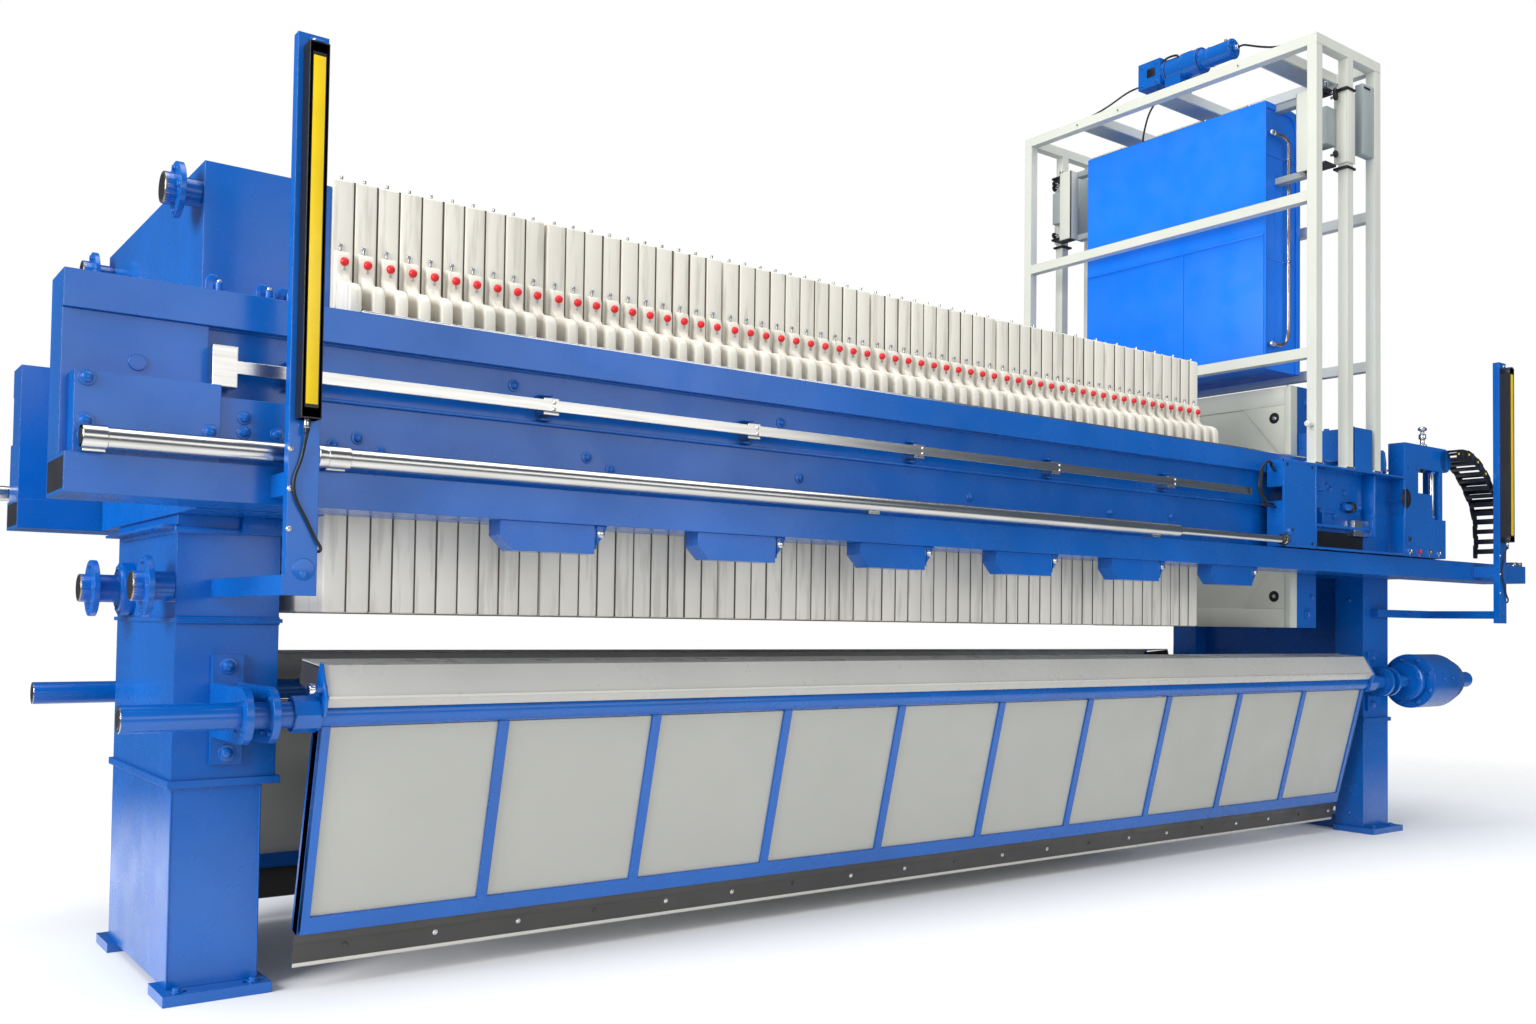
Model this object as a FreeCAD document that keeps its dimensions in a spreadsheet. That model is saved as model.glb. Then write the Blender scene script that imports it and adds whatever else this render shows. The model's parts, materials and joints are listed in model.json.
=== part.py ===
"""Plate filter press, in millimetres.

X runs along the side beams, from the fixed head towards the ram cylinder, Y to the rear and Z up.
The origin is at floor level, under the middle of the cylinder stand's floor beam.
"""
import FreeCAD, Part
import Sketcher
import os
import re

FRONT = -1
REAR = 1
SIDES = (("front", FRONT), ("rear", REAR))

SIZES = {
    # stations along X
    "head_station": -7295,
    "moving_face": -1022,
    # plate pack
    "plate_side": 1500,
    "plate_foot": 1314,
    "plate_crown": 14,
    "plate_thickness": 80.5,
    "plate_gap": 1,
    "plates_in_group": 10,
    "group_gap": 8,
    "handle_reach": 150,
    "handle_depth": 195,
    "handle_neck": 70,
    "handle_slope": 55,
    "seat_clearance": 0.3,
    # head stand
    "stand_breadth": 928,
    "stand_depth": 299,
    "stand_waist": 712,
    "collar_thickness": 25,
    "collar_overhang": 14,
    "upper_depth": 345,
    "band_height": 14,
    "band_overhang": 10,
    "band_level": 1275,
    "foot_thickness": 37,
    "foot_length": 210,
    "foot_overhang": 27,
    "foot_toe": 86,
    "anchor_radius": 13,
    "anchor_inset": 45,
    # fixed head
    "head_foot": 1642,
    "head_height": 1134,
    "head_depth": 412,
    "head_lip": 12,
    "corner_inset": 62,
    "corner_drop": 96,
    "port_bore": 38,
    "port_pipe": 45,
    "port_flange": 90,
    "port_reach": 60,
    "port_flange_thickness": 18,
    "ferrule_reach": 34,
    "ferrule_radius": 52,
    "feed_offset_front": 408,
    "feed_offset_rear": 227,
    "feed_level": 1395,
    "feed_bore": 44,
    "feed_pipe": 52,
    "feed_flange": 105,
    "feed_flange_thickness": 20,
    "feed_reach_front": 75,
    "feed_reach_rear": 125,
    "wall_flange": 100,
    "wall_flange_thickness": 42,
    "bolt_radius": 9,
    "port_bolt_circle": 70,
    "feed_bolt_circle": 85,
    # side beams and rails
    "beam_inner": 800,
    "beam_outer": 1000,
    "beam_top": 2300,
    "beam_band": 112,
    "beam_recess": 40,
    "beam_tail_front": 449,
    "beam_tail_rear": 314,
    "beam_end": -145,
    "cover_thickness": 25,
    "cover_end": -45,
    "rail_height": 117,
    "rail_ledge": 85,
    "rail_end": 1320,
    "rail_level": 1642,
    "bracket_count": 6,
    "bracket_first": 901,
    "bracket_pitch": 820,
    "bracket_length": 370,
    "bracket_height": 104,
    "bracket_chamfer": 52,
    "bracket_nose": 90,
    "bracket_inset": 15,
    "bar_height": 39,
    "bar_thickness": 20,
    "bar_level": 2040,
    "bar_standoff": 30,
    "bar_start": 26,
    "bar_block_length": 74,
    "bar_block_height": 125,
    "bar_end": 5400,
    "clip_count": 6,
    "clip_first": 180,
    "clip_pitch": 900,
    "clip_length": 60,
    "clip_margin": 10,
    # side cylinders
    "side_cylinder_standoff": 120,
    "side_cylinder_level": 1800,
    "side_cylinder_radius": 31.5,
    "side_rod_radius": 20,
    "side_rod_clearance": 0.1,
    "cylinder_bracket_reach": 75,
    "cylinder_bracket_start": -427,
    "cylinder_bracket_length": 400,
    "cylinder_bracket_height": 237,
    "cylinder_plate_length": 195,
    "cylinder_plate_reach": 60,
    "cylinder_plate_height": 203,
    "side_cylinder_start": -414,
    "side_cylinder_length": 5050,
    "side_rod_insert": 40,
    "side_bore_depth": 1000,
    "union_start": 280,
    "union_length": 70,
    "union_radius": 37,
    "cylinder_shoe_length": 60,
    "cylinder_shoe_inset": 5,
    "cylinder_end_shoe": 200,
    # moving head and travel
    "head_travel": 920,
    "face_thickness": 60,
    "moving_depth": 272,
    "moving_height": 1476,
    "arm_height": 190,
    "arm_margin": 12,
    "arm_setback": 26,
    "slide_clearance": 6,
    "carriage_lead": 662,
    "carriage_length": 1316,
    "carriage_reach": 111,
    "carriage_height": 487,
    "carriage_plate": 12,
    "carriage_solid": 319,
    "carriage_slot": 80,
    "drive_length": 512,
    "drive_height": 245,
    "drive_head_height": 150,
    "drive_head_level": 2317,
    "drive_post": 42,
    "drive_web_length": 340,
    "drive_web_level": 2164,
    "drive_neck_length": 165,
    "chain_width": 185,
    "chain_run": 646,
    "chain_thickness": 70,
    # wash gantry
    "gantry_lead": 335,
    "gantry_length": 704,
    "gantry_middle": 334,
    "gantry_top": 4753,
    "gantry_tube": 60,
    "upper_rail_level": 3783,
    "lower_rail_level": 2870,
    "cross_member_width": 150,
    "cross_member_front": -786,
    "cross_member_middle": -47,
    "cross_member_rear": 560,
    "cabinet_lead": 173,
    "cabinet_depth": 379,
    "cabinet_breadth": 1344,
    "cabinet_clearance": 95,
    "cabinet_headroom": 168,
    "cabinet_hose_radius": 11,
    "cabinet_hose_gap": 24,
    "cabinet_hose_start": 44,
    "cabinet_hose_run": 180,
    "cabinet_hose_drop": 190,
    "cabinet_hose_rise": 150,
    "guide_box_height": 500,
    "guide_box_depth": 200,
    "guide_box_inner": 860,
    "guide_arm_depth": 60,
    "guide_arm_height": 50,
    "hoist_lead": 168,
    "hoist_start": -459,
    "hoist_level": 170,
    "hoist_radius": 80,
    "hoist_nose_radius": 60,
    "hoist_nose_length": 220,
    "hoist_motor_length": 270,
    "hoist_gear": 170,
    "hoist_gear_rise": 85,
    "hoist_foot": 60,
    # cylinder stand, crosshead and ram
    "leg_half_depth": 154,
    "leg_breadth": 190,
    "leg_outer": 725,
    "web_thickness": 60,
    "web_foot": 620,
    "floor_beam_height": 90,
    "floor_beam_depth": 160,
    "crosshead_height": 600,
    "crosshead_front": 290,
    "ram_radius": 100,
    "ram_clearance": 0.1,
    "ram_wall": 70,
    "ram_level": 2000,
    "ram_cylinder_front": 300,
    "ram_cylinder_back": 900,
    "ram_end_wall": 60,
    # drip doors
    "shaft_offset": 820,
    "shaft_level": 975,
    "shaft_radius": 44.5,
    "shaft_clearance": 0.1,
    "shaft_left": 610,
    "hub_radius": 57,
    "hub_length": 90,
    "door_start": 372,
    "door_end_gap": 179,
    "door_lean": 13.8,
    "door_drop": 786,
    "door_bays": 10,
    "door_rib": 40,
    "door_thickness": 46,
    "door_bottom_rail": 62,
    "panel_thickness": 4,
    "panel_recess": 10,
    "lip_depth": 123,
    "lip_thickness": 10,
    "hood_seat": 4,
    "hood_foot_level": 32,
    "hood_bulge": 58,
    "hood_bulge_level": 72,
    "hood_height": 161,
    "hood_inset": 25,
    "hood_thickness": 5,
    "shelf_width": 188,
    "shelf_fall": 30,
    "end_plate_thickness": 8,
    "end_plate_inset": 15,
    "end_plate_drop": 12,
    "end_plate_tip_drop": 6,
    "bearing_thickness": 24,
    "bearing_gap": 60,
    "bearing_radius": 92,
    "bearing_plate_width": 107,
    "bearing_plate_height": 377,
    "bearing_plate_thickness": 20,
    "bearing_station": 119,
    "far_bearing_station": -128,
    "actuator_sleeve_length": 93,
    "actuator_sleeve_radius": 112,
    "actuator_length": 330,
    "actuator_radius": 175,
    "actuator_end_length": 134,
    "actuator_end_radius": 138,
    "actuator_stub": 296,
    "actuator_stub_radius": 52,
    # light curtains
    "curtain_post_reach": 250,
    "curtain_post_width": 93,
    "curtain_post_depth": 40,
    "curtain_post_left": 123,
    "curtain_post_right": 571,
    "curtain_post_foot": 1361,
    "curtain_post_top": 3064,
    "curtain_width": 60,
    "curtain_depth": 60,
    "curtain_foot": 1888,
    "curtain_height": 1134,
    "curtain_arm_height": 70,
    "curtain_arm_lift": 20,
    "curtain_cable_radius": 5,
    "cable_radius": 6,
    "carriage_hose_reach": 60,
    "carriage_hose_level": 2010,
    "strap_height": 62,
    "strap_thickness": 10,
    "base_bar": 50,
    "base_bar_level": 1391,
    "base_bar_start": -60,
}

doc = FreeCAD.newDocument("plate_filter_press")
sheet = doc.addObject("Spreadsheet::Sheet", "Sizes")
for row, (alias, value) in enumerate(SIZES.items(), start=1):
    sheet.set(f"A{row}", alias)
    sheet.set(f"B{row}", str(value))
    sheet.setAlias(f"B{row}", alias)
doc.recompute()

REARWARD = (0, 1, 0)
FORWARD = (0, -1, 0)
DOWN = (0, 0, -1)
AWAY = (-1, 0, 0)
BACK = (1, 0, 0)
WORD = re.compile(r"\b[a-z_]+\b(?!\()")
nodes = []


def bind(item, prop, text):
    """Tie a property to the sheet: each plain word in the text is one of the sheet's sizes."""
    item.setExpression(prop, WORD.sub(lambda word: "Sizes." + word.group(), str(text)))


def block(name, x, y, z):
    """A rectangular block; each span is a pair of expressions, low and high."""
    solid = doc.addObject("Part::Box", name)
    for size, place, (low, high) in (("Length", "x", x), ("Width", "y", y), ("Height", "z", z)):
        bind(solid, size, f"({high}) - ({low})")
        bind(solid, f"Placement.Base.{place}", low)
    return solid


def rod(name, along, start, end, across, radius):
    """A round bar along X, Y or Z; across gives the other two coordinates, in that order."""
    solid = doc.addObject("Part::Cylinder", name)
    turn = {"x": ((0, 1, 0), 90), "y": ((1, 0, 0), -90), "z": ((0, 0, 1), 0)}[along]
    solid.Placement.Rotation = FreeCAD.Rotation(FreeCAD.Vector(*turn[0]), turn[1])
    bind(solid, "Radius", radius)
    bind(solid, "Height", f"({end}) - ({start})")
    bind(solid, f"Placement.Base.{along}", start)
    for place, value in zip([axis for axis in "xyz" if axis != along], across):
        bind(solid, f"Placement.Base.{place}", value)
    return solid


def prism(name, plane, outline, start, length):
    """A padded outline: its corners are pairs of expressions in the plane, counted from the origin."""
    body = doc.addObject("PartDesign::Body", name)
    sketch = body.newObject("Sketcher::SketchObject", name + "_outline")
    support = [item for item in body.Origin.OriginFeatures if item.Role == plane + "_Plane"][0]
    sketch.AttachmentSupport = [(support, "")]
    sketch.MapMode = "FlatFace"
    count = len(outline)
    for index in range(count):
        first = FreeCAD.Vector(index, index * index, 0)
        second = FreeCAD.Vector(index + 1, (index + 1) ** 2, 0)
        sketch.addGeometry(Part.LineSegment(first, second), False)
    for index in range(count):
        sketch.addConstraint(Sketcher.Constraint("Coincident", index, 2, (index + 1) % count, 1))
    for index, corner in enumerate(outline):
        for kind, text in zip(("DistanceX", "DistanceY"), corner):
            number = sketch.addConstraint(Sketcher.Constraint(kind, -1, 1, index, 1, 1.0))
            bind(sketch, f"Constraints[{number}]", text)
    pad = body.newObject("PartDesign::Pad", name + "_pad")
    pad.Profile = sketch
    bind(pad, "Length", length)
    body.Tip = pad
    place = {"YZ": "x", "XZ": "y", "XY": "z"}[plane]
    bind(body, f"Placement.Base.{place}", start)
    return body


def cable(name, anchor, points, ends, radius):
    """A round cable through points chosen by hand, counted from its anchor; ends gives its end directions."""
    places = [FreeCAD.Vector(*point) for point in points]
    leave, arrive = [FreeCAD.Vector(*end) for end in ends]
    curve = Part.BSplineCurve()
    curve.interpolate(places, InitialTangent=leave, FinalTangent=arrive)
    line = doc.addObject("Part::Feature", name + "_line")
    line.Shape = curve.toShape()
    ring = doc.addObject("Part::Circle", name + "_ring")
    bind(ring, "Radius", radius)
    ring.Placement = FreeCAD.Placement(places[0], FreeCAD.Rotation(FreeCAD.Vector(0, 0, 1), leave))
    sweep = doc.addObject("Part::Sweep", name)
    sweep.Sections = [ring]
    sweep.Spine = (line, ["Edge1"])
    sweep.Solid = True
    for place, value in zip("xyz", anchor):
        bind(sweep, f"Placement.Base.{place}", value)
    return sweep


def fuse(name, pieces):
    """Pieces that touch, joined into one solid."""
    solid = doc.addObject("Part::MultiFuse", name)
    solid.Shapes = pieces
    solid.Refine = True
    return solid


def cut(name, base, tools):
    """A piece with the tools taken out of it."""
    solid = doc.addObject("Part::Cut", name)
    solid.Base = base
    solid.Tool = tools[0] if len(tools) == 1 else group(name + "_tools", tools)
    solid.Refine = True
    return solid


def group(name, pieces):
    """Like pieces that don't touch, kept as separate solids."""
    compound = doc.addObject("Part::Compound", name)
    compound.Links = pieces
    return compound


def node(label, item):
    """Name a sub-part: its label is its file's name."""
    item.Label = label
    nodes.append(item)
    return item


def span(side, near, far):
    """A span across Y, mirrored by side: near and far are distances from the centreline."""
    return (f"-({far})", f"-({near})") if side == FRONT else (near, far)


def at(side, offset):
    """One coordinate across Y, mirrored by side."""
    return f"-({offset})" if side == FRONT else offset


# ---- head stand, fixed head and ports ----
HEAD = "head_station"
HEAD_TOP = "head_foot + head_height"
PACK_START = "head_station + head_depth - head_lip"


def stand_feet():
    """Two foot plates, front and rear, each drilled for two anchor bolts."""
    plates = []
    for side_name, side in SIDES:
        toe = "stand_breadth / 2 + foot_toe"
        plate = block(f"foot_{side_name}",
                      (f"{HEAD} - foot_overhang", f"{HEAD} + stand_depth + foot_overhang"),
                      span(side, f"{toe} - foot_length", toe), ("0", "foot_thickness"))
        holes = []
        for corner, x in (("left", f"{HEAD} + anchor_inset"),
                          ("right", f"{HEAD} + stand_depth - anchor_inset")):
            holes.append(rod(f"anchor_{side_name}_{corner}", "z", "-1", "foot_thickness + 1",
                             (x, at(side, f"{toe} - foot_toe / 2")), "anchor_radius"))
        plates.append(cut(f"drilled_foot_{side_name}", plate, holes))
    node("head_stand_feet", group("feet", plates))


def head_stand():
    """A narrow box column that widens a little above its waist collar."""
    half = "stand_breadth / 2"
    column = block("column", (HEAD, f"{HEAD} + stand_depth"), (f"-{half}", half),
                   ("foot_thickness", "stand_waist"))
    rim = "collar_overhang"
    collar = block("collar", (f"{HEAD} - {rim}", f"{HEAD} + upper_depth + {rim}"),
                   (f"-{half} - {rim}", f"{half} + {rim}"),
                   ("stand_waist", "stand_waist + collar_thickness"))
    node("head_stand_lower", fuse("lower_stand", [column, collar]))
    shaft = block("upper_column", (HEAD, f"{HEAD} + upper_depth"), (f"-{half}", half),
                  ("stand_waist + collar_thickness", "head_foot"))
    rim = "band_overhang"
    band = block("band", (f"{HEAD} - {rim}", f"{HEAD} + upper_depth + {rim}"),
                 (f"-{half} - {rim}", f"{half} + {rim}"),
                 ("band_level", "band_level + band_height"))
    node("head_stand_upper", fuse("upper_stand", [shaft, band]))


def fixed_head():
    """The closed box that the plate pack is pressed against."""
    half = "plate_side / 2"
    node("fixed_head",
         block("head_box", (f"{HEAD} - head_lip", PACK_START), (f"-{half}", half), ("head_foot", HEAD_TOP)))


def port(name, face, reach, y, z, pipe, flange, thickness, bore, bolt_circle, extra=()):
    """A pipe stub with a loose flange and a sanitary ferrule, on a face that looks along -X."""
    stub = rod(name + "_pipe", "x", f"{face} - {reach}", face, (y, z), pipe)
    plate = rod(name + "_flange", "x", f"{face} - {reach} - {thickness}", f"{face} - {reach}", (y, z), flange)
    tip = f"{face} - {reach} - {thickness} - ferrule_reach"
    ferrule = rod(name + "_ferrule", "x", tip, f"{face} - {reach} - {thickness}", (y, z), "ferrule_radius")
    tools = [rod(name + "_bore", "x", f"{tip} - 1", face, (y, z), bore)]
    for index, (across, up) in enumerate(((1, 0), (0, 1), (-1, 0), (0, -1))):
        centre = (f"{y} + {across} * {bolt_circle}", f"{z} + {up} * {bolt_circle}")
        tools.append(rod(f"{name}_bolt_{index}", "x", f"{face} - {reach} - {thickness} - 1",
                         f"{face} - {reach} + 1", centre, "bolt_radius"))
    return cut(name, fuse(name + "_body", [stub, plate, ferrule] + list(extra)), tools)


def head_ports():
    """Two filtrate ports at the head's upper corners and two feed ports on its stand."""
    corners = []
    feeds = []
    for side_name, side in SIDES:
        corners.append(port(f"filtrate_{side_name}", f"{HEAD} - head_lip", "port_reach",
                            at(side, "plate_side / 2 - corner_inset"), f"{HEAD_TOP} - corner_drop",
                            "port_pipe", "port_flange", "port_flange_thickness", "port_bore",
                            "port_bolt_circle"))
        y = at(side, f"feed_offset_{side_name}")
        wall = [] if side == FRONT else [rod("feed_wall_flange", "x", f"{HEAD} - wall_flange_thickness", HEAD,
                                             (y, "feed_level"), "wall_flange")]
        feeds.append(port(f"feed_{side_name}", HEAD, f"feed_reach_{side_name}", y, "feed_level", "feed_pipe",
                          "feed_flange", "feed_flange_thickness", "feed_bore", "feed_bolt_circle", wall))
    node("filtrate_ports", group("corner_ports", corners))
    node("feed_ports", group("stand_ports", feeds))


# ---- plate pack ----
def plate_outline():
    """A square plate with a low roof and, at each side, a handle that rests on the beam."""
    half = "plate_side / 2"
    top = "plate_foot + plate_side"
    seat = "beam_top + seat_clearance"
    reach = f"{half} + handle_reach"
    right = [(half, "plate_foot"), (half, seat), (reach, seat),
             (reach, f"{seat} + handle_depth - handle_slope"),
             (f"{half} + handle_neck", f"{seat} + handle_depth"),
             (half, f"{seat} + handle_depth + handle_slope"), (half, top)]
    left = [(f"-({y})", z) for y, z in reversed(right)]
    return right + [("0", f"{top} + plate_crown")] + left


def plate_pack():
    """Six groups of like plates: each group is one plate repeated along X."""
    outline = plate_outline()
    pitch = "(plate_thickness + plate_gap)"
    for number in range(6):
        start = f"{PACK_START} + plate_gap + {number} * (plates_in_group * {pitch} + group_gap)"
        body = prism(f"plate_stack_{number + 1}", "YZ", outline, start, "plate_thickness")
        body.AllowCompound = True
        doc.recompute()
        pattern = body.newObject("PartDesign::LinearPattern", f"plate_row_{number + 1}")
        pattern.Originals = [body.Tip]
        axis = [item for item in body.Origin.OriginFeatures if item.Role == "X_Axis"][0]
        pattern.Direction = (axis, [""])
        bind(pattern, "Length", f"(plates_in_group - 1) * {pitch}")
        bind(pattern, "Occurrences", "plates_in_group")
        body.Tip = pattern
        node(f"plates_{number + 1}", body)


# ---- side beams, rails and what they carry ----
RAIL_OUTER = "(beam_outer + rail_ledge)"
BRACKET_FACE = "(beam_outer + cylinder_bracket_reach)"
BRACKET_PLATE_FACE = "(beam_outer + cylinder_plate_reach)"
SIDE_CYLINDER_Y = "(beam_outer + side_cylinder_standoff)"


def side_beam(side_name, side):
    """A deep box beam: its outer face is recessed under a flush top band."""
    web = "beam_outer - beam_recess"
    outline = [("beam_inner", "rail_level + rail_height"), (web, "rail_level + rail_height"),
               (web, "beam_top - beam_band"),
               ("beam_outer", "beam_top - beam_band"), ("beam_outer", "beam_top"), ("beam_inner", "beam_top")]
    corners = [(at(side, y), z) for y, z in outline]
    tail = f"{HEAD} - beam_tail_{side_name}"
    node(f"side_beam_{side_name}", prism(f"beam_{side_name}", "YZ", corners, tail, f"beam_end - ({tail})"))


def lower_rails():
    """A broad rail under each beam, on which a carriage runs."""
    rails = [block(f"rail_{side_name}", (f"{HEAD} - beam_tail_{side_name}", "rail_end"),
                   span(side, "beam_inner", RAIL_OUTER), ("rail_level", "rail_level + rail_height"))
             for side_name, side in SIDES]
    node("lower_rails", group("rails", rails))


def beam_covers():
    """A plate that closes the recess of each beam's tail."""
    covers = []
    for side_name, side in SIDES:
        web = "beam_outer - beam_recess"
        covers.append(block(f"cover_{side_name}", (f"{HEAD} - beam_tail_{side_name}", f"{HEAD} + cover_end"),
                            span(side, web, f"{web} + cover_thickness"),
                            ("rail_level + rail_height", "beam_top - beam_band")))
    node("beam_covers", group("covers", covers))


def cylinder_brackets():
    """The block each side cylinder's tail is bolted to, with a lower plate beside it."""
    brackets = []
    web = "beam_outer - beam_recess"
    start = f"{HEAD} + cylinder_bracket_start"
    end = f"{start} + cylinder_bracket_length"
    foot = "rail_level + rail_height"
    for side_name, side in SIDES:
        low = start if side == FRONT else f"{HEAD} - beam_tail_rear + cylinder_shoe_inset"
        thick = block(f"bracket_block_{side_name}", (low, end),
                      span(side, f"{web} + cover_thickness", BRACKET_FACE),
                      (foot, f"{foot} + cylinder_bracket_height"))
        thin = block(f"bracket_plate_{side_name}", (end, f"{end} + cylinder_plate_length"),
                     span(side, web, BRACKET_PLATE_FACE), (foot, f"{foot} + cylinder_plate_height"))
        brackets.append(fuse(f"cylinder_bracket_{side_name}", [thick, thin]))
    node("cylinder_brackets", group("tail_brackets", brackets))


def rail_brackets():
    """Chamfered brackets under each rail, one every bay."""
    brackets = []
    for side_name, side in SIDES:
        for index in range(int(SIZES["bracket_count"])):
            start = f"{HEAD} + bracket_first + {index} * bracket_pitch"
            end = f"{start} + bracket_length"
            low = "rail_level - bracket_height"
            outline = [(f"{start} + bracket_chamfer", low), (end, low), (end, "rail_level"),
                       (start, "rail_level"),
                       (start, f"{low} + bracket_chamfer")]
            outer = f"{RAIL_OUTER} - bracket_inset"
            rear_edge = f"-({outer} - bracket_nose)" if side == FRONT else outer
            brackets.append(prism(f"bracket_{side_name}_{index}", "XZ", outline, rear_edge, "bracket_nose"))
    node("rail_brackets", group("brackets", brackets))


def guide_bars():
    """A flat bar along each beam, held off it by clips."""
    bars = []
    for side_name, side in SIDES:
        web = "beam_outer - beam_recess"
        bar_face = "beam_outer + bar_standoff"
        pieces = [block(f"bar_{side_name}", (f"{HEAD} + bar_start", f"{HEAD} + bar_end"),
                        span(side, bar_face, f"{bar_face} + bar_thickness"),
                        ("bar_level", "bar_level + bar_height"))]
        for index in range(int(SIZES["clip_count"])):
            start = f"{HEAD} + clip_first + {index} * clip_pitch"
            pieces.append(block(f"clip_{side_name}_{index}", (start, f"{start} + clip_length"),
                                span(side, web, bar_face),
                                ("bar_level - clip_margin", "bar_level + bar_height + clip_margin")))
        middle = "bar_level + bar_height / 2"
        pieces.append(block(f"bar_block_{side_name}",
                            (f"{HEAD} + bar_start - bar_block_length", f"{HEAD} + bar_start"),
                            span(side, f"{web} + cover_thickness", f"{bar_face} + bar_thickness"),
                            (f"{middle} - bar_block_height / 2", f"{middle} + bar_block_height / 2")))
        bars.append(fuse(f"guide_bar_{side_name}", pieces))
    node("guide_bars", group("bars", bars))


SIDE_BARREL_END = f"{HEAD} + side_cylinder_start + side_cylinder_length"


def side_cylinders():
    """Two long barrels on shoes above the rails, each bored for its rod."""
    barrels = []
    for side_name, side in SIDES:
        y = at(side, SIDE_CYLINDER_Y)
        axis = (y, "side_cylinder_level")
        barrel = rod(f"barrel_{side_name}", "x", f"{HEAD} + side_cylinder_start", SIDE_BARREL_END, axis,
                     "side_cylinder_radius")
        union = rod(f"union_{side_name}", "x", f"{HEAD} + union_start",
                    f"{HEAD} + union_start + union_length", axis,
                    "union_radius")
        pieces = [barrel, union]
        stations = (f"{HEAD} + side_cylinder_start + cylinder_shoe_inset", f"{HEAD} + union_start",
                    f"{HEAD} + bracket_first + 2 * bracket_pitch", f"{SIDE_BARREL_END} - cylinder_end_shoe")
        for index, start in enumerate(stations):
            pieces.append(block(f"shoe_{side_name}_{index}", (start, f"{start} + cylinder_shoe_length"),
                                span(side, f"{BRACKET_FACE} + seat_clearance", SIDE_CYLINDER_Y),
                                ("rail_level + rail_height", "side_cylinder_level")))
        bore = rod(f"barrel_bore_{side_name}", "x", f"{SIDE_BARREL_END} - side_bore_depth",
                   f"{SIDE_BARREL_END} + 1", axis,
                   "side_rod_radius + side_rod_clearance")
        barrels.append(cut(f"cylinder_{side_name}", fuse(f"cylinder_body_{side_name}", pieces), [bore]))
    node("side_cylinder_barrels", group("side_barrels", barrels))


# ---- cylinder stand, crosshead and ram ----
CROSSHEAD_FRONT = "-(crosshead_front)"


def cylinder_stand():
    """Two legs tied by a floor beam and a web, under the crosshead."""
    legs = []
    for side_name, side in SIDES:
        leg = block(f"leg_{side_name}", ("-(leg_half_depth)", "leg_half_depth"),
                    span(side, "leg_outer - leg_breadth", "leg_outer"), ("foot_thickness", "rail_level"))
        foot = block(f"leg_foot_{side_name}",
                     ("-(leg_half_depth) - foot_overhang", "leg_half_depth + foot_overhang"),
                     span(side, "leg_outer - leg_breadth", "leg_outer + foot_toe"), ("0", "foot_thickness"))
        rim = "collar_overhang"
        collar = block(f"leg_collar_{side_name}", (f"-(leg_half_depth) - {rim}", f"leg_half_depth + {rim}"),
                       span(side, f"leg_outer - leg_breadth", f"leg_outer + {rim}"),
                       ("stand_waist", "stand_waist + collar_thickness"))
        holes = [rod(f"leg_anchor_{side_name}_{index}", "z", "-1", "foot_thickness + 1",
                     (f"{sign} * (leg_half_depth - anchor_inset)", at(side, "leg_outer + foot_toe / 2")),
                     "anchor_radius")
                 for index, sign in enumerate((-1, 1))]
        legs.append(cut(f"drilled_leg_{side_name}", fuse(f"leg_body_{side_name}", [leg, foot, collar]),
                        holes))
    node("cylinder_stand_legs", group("legs", legs))
    inner = "leg_outer - leg_breadth"
    node("floor_beam", block("tie_beam", ("-(floor_beam_depth) / 2", "floor_beam_depth / 2"),
                             (f"-({inner})", inner), ("0", "floor_beam_height")))
    node("stand_web", block("web", ("-(web_thickness) / 2", "web_thickness / 2"), (f"-({inner})", inner),
                            ("web_foot", "rail_level")))


def crosshead():
    """Two deep ties between the side beams, above and below the ram cylinder."""
    x = (CROSSHEAD_FRONT, "leg_half_depth")
    y = ("-(beam_inner)", "beam_inner")
    outer = "(ram_radius + ram_wall)"
    lower = block("crosshead_lower", x, y, ("rail_level", f"ram_level - {outer}"))
    upper = block("crosshead_upper", x, y, (f"ram_level + {outer}", "rail_level + crosshead_height"))
    cheeks = [block(f"cheek_{side_name}", x, span(side, outer, "beam_inner"),
                    (f"ram_level - {outer}", f"ram_level + {outer}")) for side_name, side in SIDES]
    node("crosshead", fuse("crosshead_body", [lower, upper] + cheeks))


def ram_cylinder():
    """The closing cylinder on the press's axis, bored for its ram."""
    axis = ("0", "ram_level")
    barrel = rod("ram_barrel", "x", "-(ram_cylinder_front)", "ram_cylinder_back", axis,
                 "ram_radius + ram_wall")
    bore = rod("ram_bore", "x", "-(ram_cylinder_front) - 1", "ram_cylinder_back - ram_end_wall", axis,
               "ram_radius + ram_clearance")
    node("ram_cylinder", cut("ram_cylinder_body", barrel, [bore]))


# ---- moving head, carriages and wash gantry ----
FACE = "moving_face"
MOVING_BACK = "moving_face + moving_depth"
CARRIAGE_START = "moving_face - carriage_lead"
CARRIAGE_END = "moving_face - carriage_lead + carriage_length"
CARRIAGE_INNER = "beam_outer + slide_clearance"
CARRIAGE_FACE = "(beam_outer + carriage_reach)"
CARRIAGE_FOOT = "rail_level + rail_height + slide_clearance"
CARRIAGE_TOP = "rail_level + rail_height + slide_clearance + carriage_height"


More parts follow.
